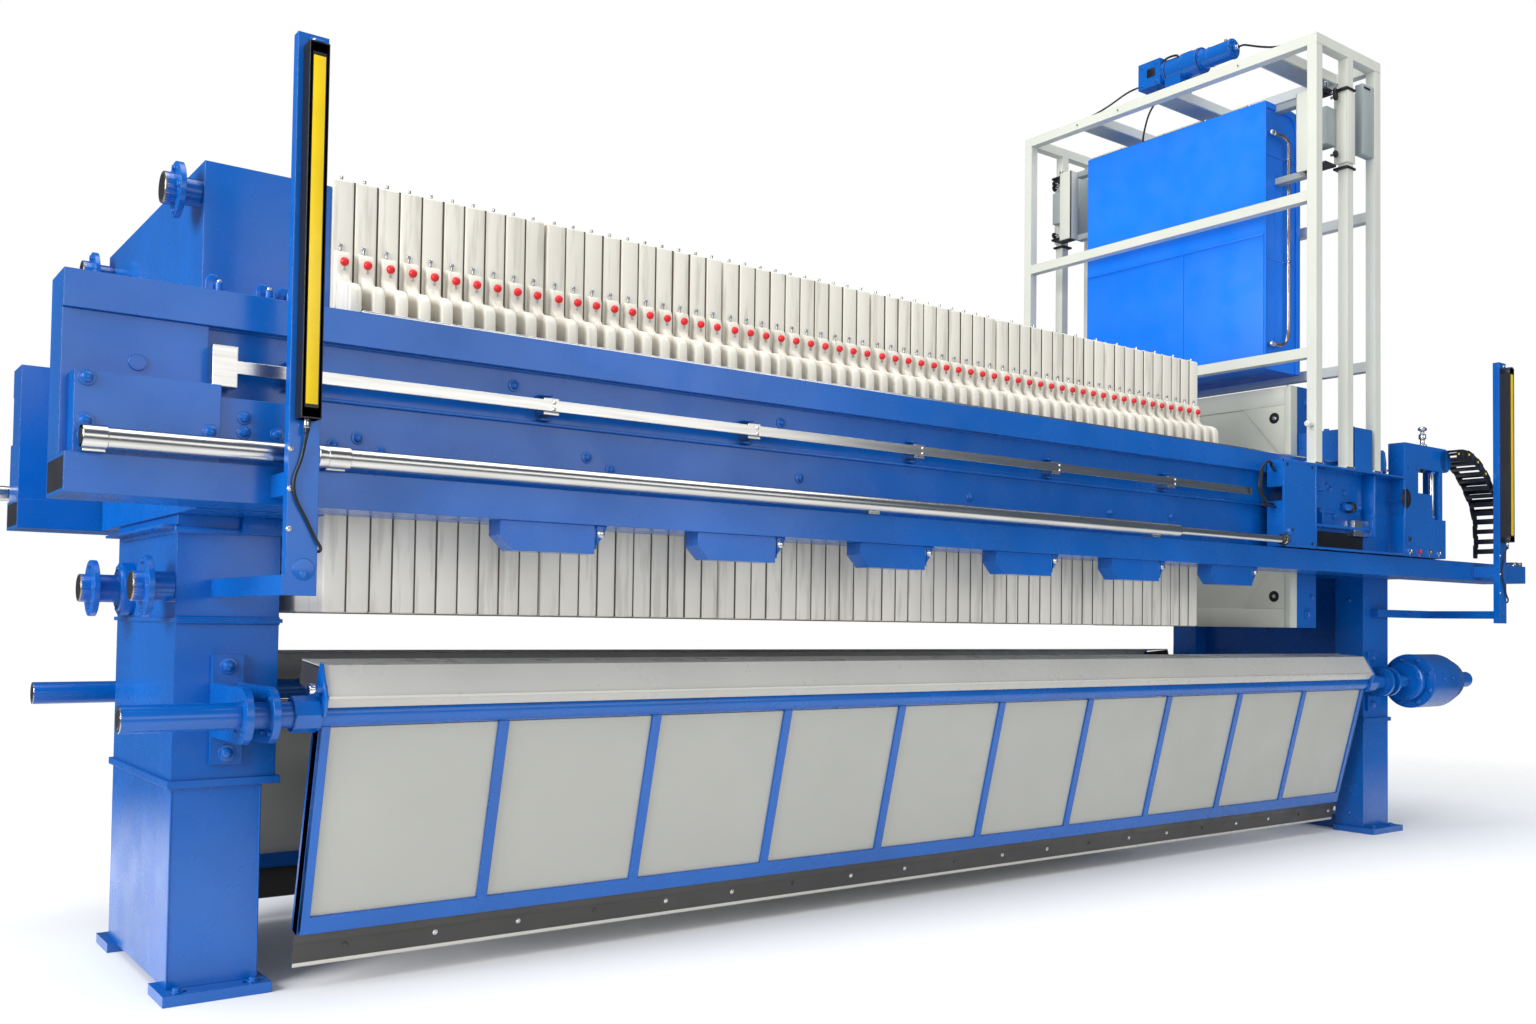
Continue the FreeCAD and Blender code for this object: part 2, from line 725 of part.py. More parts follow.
def moving_head():
    """The pressing face, the box behind it, and the ram that drives them."""
    half = "plate_side / 2"
    z = ("plate_foot", "plate_foot + moving_height")
    node("moving_face", block("face_plate", (FACE, f"{FACE} + face_thickness"), (f"-{half}", half), z))
    box = block("head_body", (f"{FACE} + face_thickness", MOVING_BACK), (f"-{half}", half), z)
    pieces = [box]
    for side_name, side in SIDES:
        foot = "beam_top + arm_margin"
        arm_x = (f"{FACE} + face_thickness + arm_setback", MOVING_BACK)
        pieces.append(block(f"arm_{side_name}", arm_x,
                            span(side, half, CARRIAGE_FACE), (foot, f"{foot} + arm_height")))
        pieces.append(block(f"arm_foot_{side_name}", arm_x,
                            span(side, CARRIAGE_INNER, CARRIAGE_FACE), (CARRIAGE_TOP, foot)))
    node("moving_head", fuse("moving_head_body", pieces))
    reach = "ram_end_wall + head_travel"
    node("ram", rod("ram_rod", "x", MOVING_BACK, f"-(ram_cylinder_front) + {reach}", ("0", "ram_level"),
                    "ram_radius"))


def carriage(side_name, side):
    """An open box on the outside of the beam: a plated end bay, then an open working bay."""
    wall = "carriage_plate"
    bay = f"{CARRIAGE_START} + carriage_solid"
    y = span(side, CARRIAGE_INNER, CARRIAGE_FACE)
    slot_low = "bar_level - (carriage_slot - bar_height) / 2"
    slot_high = f"{slot_low} + carriage_slot"
    whole = (CARRIAGE_START, CARRIAGE_END)
    pieces = [block(f"carriage_floor_{side_name}", whole, y, (CARRIAGE_FOOT, f"{CARRIAGE_FOOT} + {wall}")),
              block(f"carriage_roof_{side_name}", whole, y, (f"{CARRIAGE_TOP} - {wall}", CARRIAGE_TOP)),
              block(f"carriage_apron_{side_name}", (CARRIAGE_START, bay),
                    span(side, f"{CARRIAGE_FACE} - {wall}", CARRIAGE_FACE),
                    (CARRIAGE_FOOT, CARRIAGE_TOP))]
    for name, start in (("end", CARRIAGE_START), ("divider", f"{bay} - {wall}"),
                        ("back", f"{CARRIAGE_END} - {wall}")):
        for level, z in (("low", (CARRIAGE_FOOT, slot_low)), ("high", (slot_high, CARRIAGE_TOP))):
            pieces.append(block(f"carriage_{name}_{level}_{side_name}", (start, f"{start} + {wall}"), y, z))
    pieces.append(block(f"carriage_wall_{side_name}", (bay, CARRIAGE_END),
                        span(side, CARRIAGE_INNER, f"{CARRIAGE_INNER} + {wall}"),
                        (CARRIAGE_FOOT, CARRIAGE_TOP)))
    node(f"carriage_{side_name}", fuse(f"carriage_box_{side_name}", pieces))


def drive_blocks():
    """Behind each carriage, a block with a raised head on a post."""
    drives = []
    for side_name, side in SIDES:
        y = span(side, CARRIAGE_INNER, CARRIAGE_FACE)
        end = f"{CARRIAGE_END} + drive_length"
        lower = block(f"drive_{side_name}", (CARRIAGE_END, end), y,
                      (CARRIAGE_FOOT, f"{CARRIAGE_FOOT} + drive_height"))
        post = block(f"drive_post_{side_name}", (f"{end} - 2 * drive_post", f"{end} - drive_post"), y,
                     (f"{CARRIAGE_FOOT} + drive_height", "drive_head_level"))
        head = block(f"drive_head_{side_name}", (CARRIAGE_END, end), y,
                     ("drive_head_level", "drive_head_level + drive_head_height"))
        level = f"{CARRIAGE_FOOT} + drive_height"
        web = block(f"drive_web_{side_name}", (CARRIAGE_END, f"{CARRIAGE_END} + drive_web_length"), y,
                    (level, "drive_web_level"))
        neck = block(f"drive_neck_{side_name}", (CARRIAGE_END, f"{CARRIAGE_END} + drive_neck_length"), y,
                     ("drive_web_level", "drive_head_level"))
        drives.append(fuse(f"drive_block_{side_name}", [lower, post, head, web, neck]))
    node("drive_blocks", group("drives", drives))


# The chain's line, outer face: shares of its run and of its fall, and its back's lean from level to upright.
CHAIN_LINE = ((0, 0.02, 0), (0.18, 0, 0), (0.49, 0.1, 0.4), (0.73, 0.29, 0.5), (0.9, 0.45, 0.6),
              (1, 0.66, 1), (1, 1, 1))


def cable_chain():
    """A cable chain that falls from the drive head to the rail, as one fixed band."""
    start = f"{CARRIAGE_END} + drive_length + seat_clearance"
    top = "drive_head_level + drive_head_height"
    fall = f"({top} - ({CARRIAGE_FOOT}))"
    outer = []
    inner = []
    for run, drop, lean in CHAIN_LINE:
        x = f"{start} + chain_run * {run}"
        z = f"{top} - {fall} * {drop}"
        outer.append((x, z))
        last = CHAIN_LINE[-1] == (run, drop, lean)
        inner.append((f"{x} - chain_thickness * {lean}",
                      z if last else f"{z} - chain_thickness * {1 - lean}"))
    band = prism("chain_band", "XZ", outer + inner[::-1], f"-({CARRIAGE_INNER})", "chain_width")
    node("cable_chain", band)


def piston_rods():
    """The side cylinders' rods, which end on their carriages."""
    stems = [rod(f"stem_{side_name}", "x", f"{SIDE_BARREL_END} - side_rod_insert", CARRIAGE_START,
                 (at(side, SIDE_CYLINDER_Y), "side_cylinder_level"), "side_rod_radius")
             for side_name, side in SIDES]
    node("piston_rods", group("stems", stems))


def gantry():
    """A tube frame on the carriages: six posts, a top ring and two rails on each end."""
    tube = "gantry_tube"
    start = f"{FACE} - gantry_lead"
    end = f"{start} + gantry_length"
    foot = CARRIAGE_TOP
    under = f"gantry_top - {tube}"
    posts = []
    for side_name, side in SIDES:
        for place, x in (("lead", start), ("middle", f"{start} + gantry_middle"),
                         ("tail", f"{end} - {tube}")):
            posts.append(block(f"post_{side_name}_{place}", (x, f"{x} + {tube}"),
                               span(side, f"{CARRIAGE_FACE} - {tube}", CARRIAGE_FACE), (foot, under)))
    node("gantry_posts", group("posts", posts))
    ring = []
    for side_name, side in SIDES:
        ring.append(block(f"ring_{side_name}", (start, end),
                          span(side, f"{CARRIAGE_FACE} - {tube}", CARRIAGE_FACE),
                          (under, "gantry_top")))
    inner = f"{CARRIAGE_FACE} - {tube}"
    for place, x in (("lead", start), ("tail", f"{end} - {tube}")):
        ring.append(block(f"ring_{place}", (x, f"{x} + {tube}"), (f"-({inner})", inner),
                          (under, "gantry_top")))
    for place, y in (("front", "cross_member_front"), ("middle", "cross_member_middle"),
                     ("rear", "cross_member_rear")):
        ring.append(block(f"cross_member_{place}", (f"{start} + {tube}", f"{end} - {tube}"),
                          (f"{y} - cross_member_width / 2", f"{y} + cross_member_width / 2"),
                          (under, "gantry_top")))
    node("gantry_top_frame", fuse("gantry_ring", ring))
    rails = []
    for place, x in (("lead", start), ("tail", f"{end} - {tube}")):
        for level in ("upper_rail_level", "lower_rail_level"):
            rails.append(block(f"{level}_{place}", (x, f"{x} + {tube}"), (f"-({inner})", inner),
                               (level, f"{level} + {tube}")))
    node("gantry_rails", group("rails", rails))


CABINET_TOP = "gantry_top - gantry_tube - cabinet_headroom"
CABINET_FOOT = "(plate_foot + moving_height + cabinet_clearance)"
HOSE_FOOT = f"({CABINET_FOOT} + cabinet_hose_rise)"


def wash_cabinet():
    """The wash cabinet and the guides that carry it on the middle posts."""
    start = f"{FACE} - cabinet_lead"
    half = "cabinet_breadth / 2"
    node("wash_cabinet", block("cabinet", (start, f"{start} + cabinet_depth"), (f"-({half})", half),
                               (CABINET_FOOT, CABINET_TOP)))
    guides = []
    middle = f"{FACE} - gantry_lead + gantry_middle"
    foot = f"{CABINET_TOP} - guide_box_height"
    back = f"{middle} - seat_clearance"
    for side_name, side in SIDES:
        pieces = [block(f"guide_{side_name}", (f"{middle} - guide_box_depth + gantry_tube", back),
                        span(side, "guide_box_inner", f"{CARRIAGE_FACE} - seat_clearance"),
                        (foot, CABINET_TOP))]
        for place, low in (("foot", foot), ("top", f"{CABINET_TOP} - guide_arm_height")):
            pieces.append(block(f"guide_arm_{place}_{side_name}", (f"{back} - guide_arm_depth", back),
                                span(side, f"{half} + seat_clearance", "guide_box_inner"),
                                (low, f"{low} + guide_arm_height")))
        guides.append(fuse(f"guide_box_{side_name}", pieces))
    node("guide_boxes", group("guide_pair", guides))


def cabinet_hose():
    """A steel hose down the cabinet's front side, held at both ends by elbows."""
    wide = "cabinet_hose_radius"
    face = "-(cabinet_breadth / 2)"
    y = f"{face} - cabinet_hose_gap"
    lead = f"{FACE} - cabinet_lead + cabinet_hose_start"
    run = f"{lead} + cabinet_hose_run"
    top = f"{CABINET_TOP} - cabinet_hose_drop"
    pieces = [rod("hose_drop", "z", HOSE_FOOT, top, (run, y), wide)]
    for place, level in (("top", top), ("foot", HOSE_FOOT)):
        pieces.append(rod(f"hose_{place}", "x", lead, run, (y, level), wide))
        pieces.append(rod(f"hose_elbow_{place}", "y", y, f"{face} - seat_clearance", (lead, level), wide))
        for corner, x in (("near", lead), ("far", run)):
            ball = doc.addObject("Part::Sphere", f"hose_bend_{place}_{corner}")
            bind(ball, "Radius", wide)
            for axis, value in (("x", x), ("y", y), ("z", level)):
                bind(ball, f"Placement.Base.{axis}", value)
            pieces.append(ball)
    node("cabinet_hose", fuse("cabinet_hose_pipe", pieces))


def hoist():
    """The cabinet's lifting motor, lying across the gantry's top."""
    x = f"{FACE} - hoist_lead"
    axis = (x, "gantry_top + hoist_level")
    nose_end = "hoist_start + hoist_nose_length"
    motor_end = f"{nose_end} + hoist_motor_length"
    level = "gantry_top + hoist_level"
    pieces = [rod("hoist_nose", "y", "hoist_start", nose_end, axis, "hoist_nose_radius"),
              rod("hoist_motor", "y", nose_end, motor_end, axis, "hoist_radius"),
              block("hoist_gear_box", (f"{x} - hoist_gear / 2", f"{x} + hoist_gear / 2"),
                    (motor_end, f"{motor_end} + hoist_gear"),
                    (f"{level} - hoist_gear_rise", f"{level} + hoist_gear_rise")),
              block("hoist_pedestal", (f"{x} - hoist_foot", f"{x} + hoist_foot"),
                    ("cross_member_middle - hoist_foot", "cross_member_middle + hoist_foot"),
                    ("gantry_top + seat_clearance", level))]
    node("hoist", fuse("hoist_body", pieces))


# The lifting cables' routes, counted from the hoist's axis over the cross member's middle.
CABLE_TO_REAR = ((0, 201.3, -20), (-45, 300, -45), (-105, 430, -120), (-135, 520, -156), (-135, 650, -163.7))
CABLE_TO_FRONT = ((0, -459.3, 0), (-45, -560, -25), (-105, -700, -100), (-135, -820, -152),
                  (-135, -980, -163.7))
CABLE_TO_CABINET = ((20, 116, -85.5), (20, 170, -180), (35, 240, -300), (55, 268, -360), (60, 270, -397.7))


def hoist_cables():
    """Two cables that lie along the top tube and one that drops to the cabinet."""
    anchor = (f"{FACE} - hoist_lead", "0", "gantry_top + hoist_level")
    routes = (("rear", CABLE_TO_REAR, REARWARD), ("front", CABLE_TO_FRONT, FORWARD),
              ("cabinet", CABLE_TO_CABINET, DOWN))
    runs = [cable(f"hoist_cable_{place}", anchor, route, (way, way), "cable_radius") for place, route,
            way in routes]
    node("hoist_cables", group("hoist_cable_runs", runs))


# A hose's route, counted from the carriage's end plate on its axle line: out of the plate, round and back.
CARRIAGE_HOSES = (((-0.3, 0, 180), (-60, -14, 215), (-160, -22, 190), (-196, -24, 110), (-186, -22, 40),
                   (-110, -14, -8),
                   (-0.3, 0, -24)),
                  ((-0.3, 14, 200), (-50, 2, 224), (-120, -6, 206), (-150, -8, 120), (-140, -6, 40),
                   (-90, 2, 4),
                   (-0.3, 14, -6)))


def carriage_hoses():
    """Two hose loops at the front carriage's end."""
    anchor = (CARRIAGE_START, "-(beam_outer + carriage_hose_reach)", "carriage_hose_level")
    loops = [cable(f"carriage_hose_{index}", anchor, route, (AWAY, BACK), "cable_radius")
             for index, route in enumerate(CARRIAGE_HOSES)]
    node("carriage_hoses", group("carriage_hose_loops", loops))


CURTAIN_POST_Y = "(beam_outer + curtain_post_reach)"
# The light curtain's cable, counted from its housing's foot at the post's left edge, round to its side.
CURTAIN_CABLE = ((50, -30, -0.3), (45, -16, -60), (35, -8, -120), (18, -7.5, -172), (18, -7.5, -221),
                 (50, -8, -290),
                 (82, -8, -352), (94, -9.5, -372), (101.5, -4, -384), (100.5, 14, -392))


def curtain_cables():
    """The cable that runs down the face of each guard post."""
    runs = [cable(f"curtain_cable_{place}", (x, f"-({CURTAIN_POST_Y})", "curtain_foot"), CURTAIN_CABLE,
                  (DOWN, REARWARD),
                  "curtain_cable_radius")
            for place, x in (("left", f"{HEAD} + curtain_post_left"), ("right", "curtain_post_right"))]
    node("curtain_cables", group("curtain_cable_runs", runs))


# ---- drip doors ----
DOOR_START = "head_station + door_start"
DOOR_END = "-(leg_half_depth) - door_end_gap"
DOOR_LENGTH = f"(({DOOR_END}) - ({DOOR_START}))"


def swung(item, side):
    """Hang a piece, drawn upright about the shaft, at its shaft and at the doors' rest angle."""
    item.Placement.Rotation = FreeCAD.Rotation(FreeCAD.Vector(1, 0, 0), 1.0)
    bind(item, "Placement.Rotation.Angle", f"{-side} * door_lean")
    bind(item, "Placement.Base.y", at(side, "shaft_offset"))
    bind(item, "Placement.Base.z", "shaft_level")
    return item


def drip_door(side_name, side):
    """One of the two long doors: a framed panel hung from its shaft, with a lip below and a hood above."""
    half = "door_thickness / 2"
    pitch = f"(({DOOR_LENGTH} - door_rib) / door_bays)"
    foot = "-(door_drop)"
    pieces = [block(f"sill_{side_name}", (DOOR_START, DOOR_END), (f"-({half})", half),
                    (foot, f"{foot} + door_bottom_rail"))]
    bays = int(SIZES["door_bays"])
    for index in range(bays + 1):
        start = f"{DOOR_START} + {index} * {pitch}"
        pieces.append(block(f"stile_{side_name}_{index}", (start, f"{start} + door_rib"),
                            (f"-({half})", half),
                            (f"{foot} + door_bottom_rail", "0")))
    seat = rod(f"shaft_seat_{side_name}", "x", f"{DOOR_START} - 1", f"{DOOR_END} + 1", ("0", "0"),
               "shaft_radius + seat_clearance")
    frame = cut(f"door_frame_{side_name}", fuse(f"door_frame_body_{side_name}", pieces), [seat])
    node(f"{side_name}_door_frame", swung(frame, side))
    panels = []
    face = f"{half} - panel_recess"
    for index in range(bays):
        start = f"{DOOR_START} + {index} * {pitch} + door_rib"
        panels.append(block(f"panel_{side_name}_{index}", (start, f"{start} + {pitch} - door_rib"),
                            span(side, f"{face} - panel_thickness", face),
                            (f"{foot} + door_bottom_rail", "-(shaft_radius) - seat_clearance")))
    node(f"{side_name}_door_panels", swung(group(f"door_panels_{side_name}", panels), side))
    lip = block(f"lip_plate_{side_name}", (DOOR_START, DOOR_END),
                ("-(lip_thickness) / 2", "lip_thickness / 2"),
                (f"{foot} - lip_depth", foot))
    node(f"{side_name}_door_lip", swung(group(f"lip_{side_name}", [lip]), side))
    thick = "hood_thickness"
    tube_edge = "sqrt(shaft_radius ^ 2 - hood_foot_level ^ 2) + hood_seat"
    shelf_end = "-(hood_inset + shelf_width)"
    shelf_level = "hood_height - shelf_fall"
    outer = [(f"{tube_edge} + {thick}", "hood_foot_level"), ("hood_bulge", "hood_bulge_level"),
             ("-(hood_inset)", "hood_height"), (shelf_end, shelf_level)]
    inner = [(shelf_end, f"{shelf_level} - {thick}"), ("-(hood_inset)", f"hood_height - {thick}"),
             (f"hood_bulge - {thick}", "hood_bulge_level"), (tube_edge, "hood_foot_level")]
    outline = [(at(side, y), z) for y, z in outer + inner]
    hood = prism(f"hood_{side_name}", "YZ", outline, DOOR_START, DOOR_LENGTH)
    node(f"{side_name}_door_hood", swung(group(f"hood_sheet_{side_name}", [hood]), side))
    ends = []
    plate = [("shaft_radius / 2", "shaft_radius + seat_clearance"),
             ("hood_bulge - end_plate_inset", "hood_bulge_level"),
             ("-(hood_inset)", "hood_height - end_plate_drop"),
             (shelf_end, f"{shelf_level} - end_plate_tip_drop"),
             (shelf_end, "shaft_radius + seat_clearance")]
    corners = [(at(side, y), z) for y, z in plate]
    for place, x in (("left", DOOR_START), ("right", f"{DOOR_END} - end_plate_thickness")):
        ends.append(prism(f"end_{side_name}_{place}", "YZ", corners, x, "end_plate_thickness"))
    node(f"{side_name}_door_ends", swung(group(f"door_ends_{side_name}", ends), side))


def door_shaft(side_name, side):
    """The long shaft a door hangs from, with a hub beyond each end of the door."""
    axis = ("0", "0")
    pieces = [rod(f"shaft_{side_name}", "x", f"{DOOR_START} - shaft_left", "leg_half_depth", axis,
                  "shaft_radius")]
    gap = "seat_clearance"
    for place, x in (("left", f"{DOOR_START} - {gap} - hub_length"), ("right", f"{DOOR_END} + {gap}")):
        pieces.append(rod(f"hub_{side_name}_{place}", "x", x, f"{x} + hub_length", axis, "hub_radius"))
    node(f"{side_name}_door_shaft", swung(fuse(f"shaft_body_{side_name}", pieces), side))


def bearing(name, x, side, leg_face):
    """Two round cheeks on a back plate, bored for the door shaft."""
    y = at(side, "shaft_offset")
    pieces = [block(name + "_plate", (x, f"{x} + bearing_plate_width"),
                    span(side, leg_face, f"{leg_face} + bearing_plate_thickness"),
                    ("shaft_level - bearing_plate_height / 2", "shaft_level + bearing_plate_height / 2"))]
    for index, start in enumerate((f"{x} + seat_clearance", f"{x} + bearing_thickness + bearing_gap")):
        end = f"{start} + bearing_thickness"
        pieces.append(rod(f"{name}_cheek_{index}", "x", start, end, (y, "shaft_level"), "bearing_radius"))
        pieces.append(block(f"{name}_arm_{index}", (start, end),
                            span(side, f"{leg_face} + bearing_plate_thickness", "shaft_offset"),
                            ("shaft_level - bearing_radius", "shaft_level + bearing_radius")))
    hole = rod(name + "_hole", "x", f"{x} - 1", f"{x} + bearing_plate_width + 1", (y, "shaft_level"),
               "shaft_radius + shaft_clearance")
    return cut(name, fuse(name + "_body", pieces), [hole])


def door_bearings():
    """Bearings at both ends of each door shaft."""
    near = []
    far = []
    for side_name, side in SIDES:
        near.append(bearing(f"near_bearing_{side_name}", f"{HEAD} + bearing_station", side,
                            "stand_breadth / 2"))
        far.append(bearing(f"far_bearing_{side_name}", "far_bearing_station", side, "leg_outer"))
    node("bearings_left", group("near_bearings", near))
    node("bearings_right", group("far_bearings", far))


def door_actuators():
    """A drum-shaped rotary actuator beyond each shaft's far end, tapered towards its stub."""
    drums = []
    for side_name, side in SIDES:
        axis = (at(side, "shaft_offset"), "shaft_level")
        start = "leg_half_depth + seat_clearance"
        face = f"{start} + actuator_sleeve_length"
        shoulder = f"{face} + actuator_length"
        end = f"{shoulder} + actuator_end_length"
        taper = doc.addObject("Part::Cone", f"drum_end_{side_name}")
        taper.Placement.Rotation = FreeCAD.Rotation(FreeCAD.Vector(0, 1, 0), 90)
        bind(taper, "Radius1", "actuator_radius")
        bind(taper, "Radius2", "actuator_end_radius")
        bind(taper, "Height", "actuator_end_length")
        for place, value in zip("xyz", (shoulder,) + axis):
            bind(taper, f"Placement.Base.{place}", value)
        drums.append(fuse(f"actuator_{side_name}", [
            rod(f"drum_sleeve_{side_name}", "x", start, face, axis, "actuator_sleeve_radius"),
            rod(f"drum_{side_name}", "x", face, shoulder, axis, "actuator_radius"),
            taper,
            rod(f"drum_stub_{side_name}", "x", end, f"{end} + actuator_stub", axis, "actuator_stub_radius")]))
    node("door_actuators", group("actuators", drums))


def light_curtains():
    """Guard posts at both ends of the front side, each with a light curtain on its face."""
    posts = []
    curtains = []
    y = (f"-({CURTAIN_POST_Y})", f"-({CURTAIN_POST_Y} - curtain_post_depth)")
    arm_y = (f"-({CURTAIN_POST_Y} - curtain_post_depth)", f"-({RAIL_OUTER})")
    left = f"{HEAD} + curtain_post_left"
    bar = ("base_bar_level", "base_bar_level + base_bar")
    right = "curtain_post_right + curtain_post_width"
    strap = block("curtain_strap", (f"{left} - strap_thickness", left),
                  (f"-({CURTAIN_POST_Y})", "-(stand_breadth / 2)"),
                  ("curtain_post_foot", "curtain_post_foot + strap_height"))
    across = block("base_bar_across", ("base_bar_start", right), ("-(leg_outer + base_bar)", "-(leg_outer)"),
                   bar)
    outward = block("base_bar_outward", (f"{right} - base_bar", right), (y[1], "-(leg_outer + base_bar)"),
                    bar)
    braces = {"left": strap, "right": across}
    elbows = {"left": [], "right": [outward]}
    for place, x in (("left", f"{HEAD} + curtain_post_left"), ("right", "curtain_post_right")):
        wide = (x, f"{x} + curtain_post_width")
        post = block(f"curtain_column_{place}", wide, y, ("curtain_post_foot", "curtain_post_top"))
        lift = "rail_level + curtain_arm_lift"
        arm = block(f"curtain_arm_{place}", wide, arm_y, (lift, f"{lift} + curtain_arm_height"))
        posts.append(fuse(f"curtain_post_{place}", [post, arm, braces[place]] + elbows[place]))
        side = f"{x} + (curtain_post_width - curtain_width) / 2"
        curtains.append(block(f"curtain_{place}", (side, f"{side} + curtain_width"),
                              (f"-({CURTAIN_POST_Y} + curtain_depth)", f"-({CURTAIN_POST_Y})"),
                              ("curtain_foot", "curtain_foot + curtain_height")))
    node("curtain_posts", group("columns", posts))
    node("light_curtains", group("curtains", curtains))


stand_feet()
head_stand()
fixed_head()
head_ports()
plate_pack()
for side_name, side in SIDES:
    side_beam(side_name, side)
lower_rails()
beam_covers()
cylinder_brackets()
rail_brackets()
guide_bars()
side_cylinders()
cylinder_stand()
crosshead()
ram_cylinder()
moving_head()
for side_name, side in SIDES:
    carriage(side_name, side)
drive_blocks()
cable_chain()
piston_rods()
gantry()
wash_cabinet()
cabinet_hose()
hoist()
hoist_cables()
carriage_hoses()
for side_name, side in SIDES:
    drip_door(side_name, side)
    door_shaft(side_name, side)
door_bearings()
door_actuators()
light_curtains()
curtain_cables()

doc.recompute()
for item in doc.Objects:
    assert not {"Invalid", "Error"} & set(item.State), f"{item.Label} did not build: {item.State}"
for item in nodes:
    assert not item.Shape.isNull() and item.Shape.isValid(), f"{item.Label} has no sound shape"
os.makedirs("parts", exist_ok=True)
for item in nodes:
    item.Shape.exportStep(f"parts/{item.Label}.step")
    box = item.Shape.BoundBox
    print(f"{item.Label}: {len(item.Shape.Solids)} solids, X {box.XMin:.0f}..{box.XMax:.0f}, "
          f"Y {box.YMin:.0f}..{box.YMax:.0f}, Z {box.ZMin:.0f}..{box.ZMax:.0f}")
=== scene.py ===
"""The looks of the plate filter press: camera, light, finishes and the small parts that CAD leaves out."""
import bmesh
import bpy
import json
import math
import random
from mathutils import Matrix, Vector


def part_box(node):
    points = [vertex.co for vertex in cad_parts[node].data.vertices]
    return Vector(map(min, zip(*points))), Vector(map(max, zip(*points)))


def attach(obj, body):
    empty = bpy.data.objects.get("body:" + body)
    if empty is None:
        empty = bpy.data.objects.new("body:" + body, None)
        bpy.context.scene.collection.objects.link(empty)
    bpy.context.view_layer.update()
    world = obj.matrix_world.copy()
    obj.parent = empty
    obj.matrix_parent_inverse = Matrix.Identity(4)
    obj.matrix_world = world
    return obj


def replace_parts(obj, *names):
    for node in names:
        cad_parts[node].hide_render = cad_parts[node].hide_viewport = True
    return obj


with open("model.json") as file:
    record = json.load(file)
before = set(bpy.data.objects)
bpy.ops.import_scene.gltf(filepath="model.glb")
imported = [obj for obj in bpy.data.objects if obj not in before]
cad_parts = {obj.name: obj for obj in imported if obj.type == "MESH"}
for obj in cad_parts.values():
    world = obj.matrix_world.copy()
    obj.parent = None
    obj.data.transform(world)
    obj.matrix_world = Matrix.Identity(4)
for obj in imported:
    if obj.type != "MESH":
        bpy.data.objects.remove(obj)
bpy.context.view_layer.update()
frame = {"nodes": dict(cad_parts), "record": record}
nodes = frame["nodes"]
random.seed(7)
MM = 0.001


# ---- camera ----
def make_camera():
    """The photograph's view: low, off the head's front corner, looking along the beams."""
    focal, width, height = 1328.4, 1536.0, 1024.0
    horizon_row = 582.7
    yaw, pitch, roll = (math.radians(angle) for angle in (37.0, 1.763, 0.768))
    place = Vector((-8.403, -5.271, 1.296))
    ahead = Vector((math.sin(yaw) * math.cos(pitch), math.cos(yaw) * math.cos(pitch), math.sin(pitch)))
    right = Vector((math.cos(yaw), -math.sin(yaw), 0))
    up = right.cross(ahead)
    right_rolled = right * math.cos(roll) + up * math.sin(roll)
    up_rolled = up * math.cos(roll) - right * math.sin(roll)
    data = bpy.data.cameras.new("camera")
    data.sensor_width = 36
    data.lens = 36 * focal / width
    data.shift_y = (horizon_row - height / 2) / width
    data.clip_end = 200
    camera = bpy.data.objects.new("camera", data)
    turn = Matrix((right_rolled, up_rolled, -ahead)).transposed()
    camera.matrix_world = Matrix.Translation(place) @ turn.to_4x4()
    bpy.context.scene.collection.objects.link(camera)
    bpy.context.scene.camera = camera


# ---- materials ----
def srgb(red, green, blue):
    """A colour as a screen shows it, 0 to 255, in the renderer's linear values."""
    def linear(value):
        value /= 255
        return value / 12.92 if value <= 0.04045 else ((value + 0.055) / 1.055) ** 2.4
    return (linear(red), linear(green), linear(blue), 1.0)


def new_material(name, roughness, metallic=0.0, coat=0.0):
    """A principled material; returns it with its node tree and its shader."""
    material = bpy.data.materials.new(name)
    material.use_nodes = True
    tree = material.node_tree
    shader = tree.nodes["Principled BSDF"]
    shader.inputs["Roughness"].default_value = roughness
    shader.inputs["Metallic"].default_value = metallic
    shader.inputs["Coat Weight"].default_value = coat
    shader.inputs["Coat Roughness"].default_value = 0.12
    return material, tree, shader


def noise(tree, scale, detail=3.0, stretch=(1, 1, 1)):
    """A noise texture in object space, stretched along an axis where the finish is directional."""
    coordinates = tree.nodes.new("ShaderNodeTexCoord")
    mapping = tree.nodes.new("ShaderNodeMapping")
    mapping.inputs["Scale"].default_value = stretch
    texture = tree.nodes.new("ShaderNodeTexNoise")
    texture.inputs["Scale"].default_value = scale
    texture.inputs["Detail"].default_value = detail
    tree.links.new(coordinates.outputs["Object"], mapping.inputs["Vector"])
    tree.links.new(mapping.outputs["Vector"], texture.inputs["Vector"])
    return texture.outputs["Fac"]


def ramp(tree, source, stops):
    """A colour ramp over a value: stops are pairs of place and colour."""
    node = tree.nodes.new("ShaderNodeValToRGB")
    elements = node.color_ramp.elements
    elements[0].position, elements[0].color = stops[0]
    elements[1].position, elements[1].color = stops[-1]
    for place, colour in stops[1:-1]:
        element = elements.new(place)
        element.color = colour
    tree.links.new(source, node.inputs["Fac"])
    return node.outputs["Color"]


def bump(tree, shader, source, strength, distance):
    """Fine relief on the shader's normal."""
    edges = tree.nodes.new("ShaderNodeBevel")
    edges.samples = 4
    edges.inputs["Radius"].default_value = 0.004
    node = tree.nodes.new("ShaderNodeBump")
    tree.links.new(edges.outputs["Normal"], node.inputs["Normal"])
    node.inputs["Strength"].default_value = strength
    node.inputs["Distance"].default_value = distance
    tree.links.new(source, node.inputs["Height"])
    tree.links.new(node.outputs["Normal"], shader.inputs["Normal"])


def shade(colour, factor):
    """A colour made darker or lighter."""
    return tuple(min(1.0, channel * factor) for channel in colour[:3]) + (1.0,)


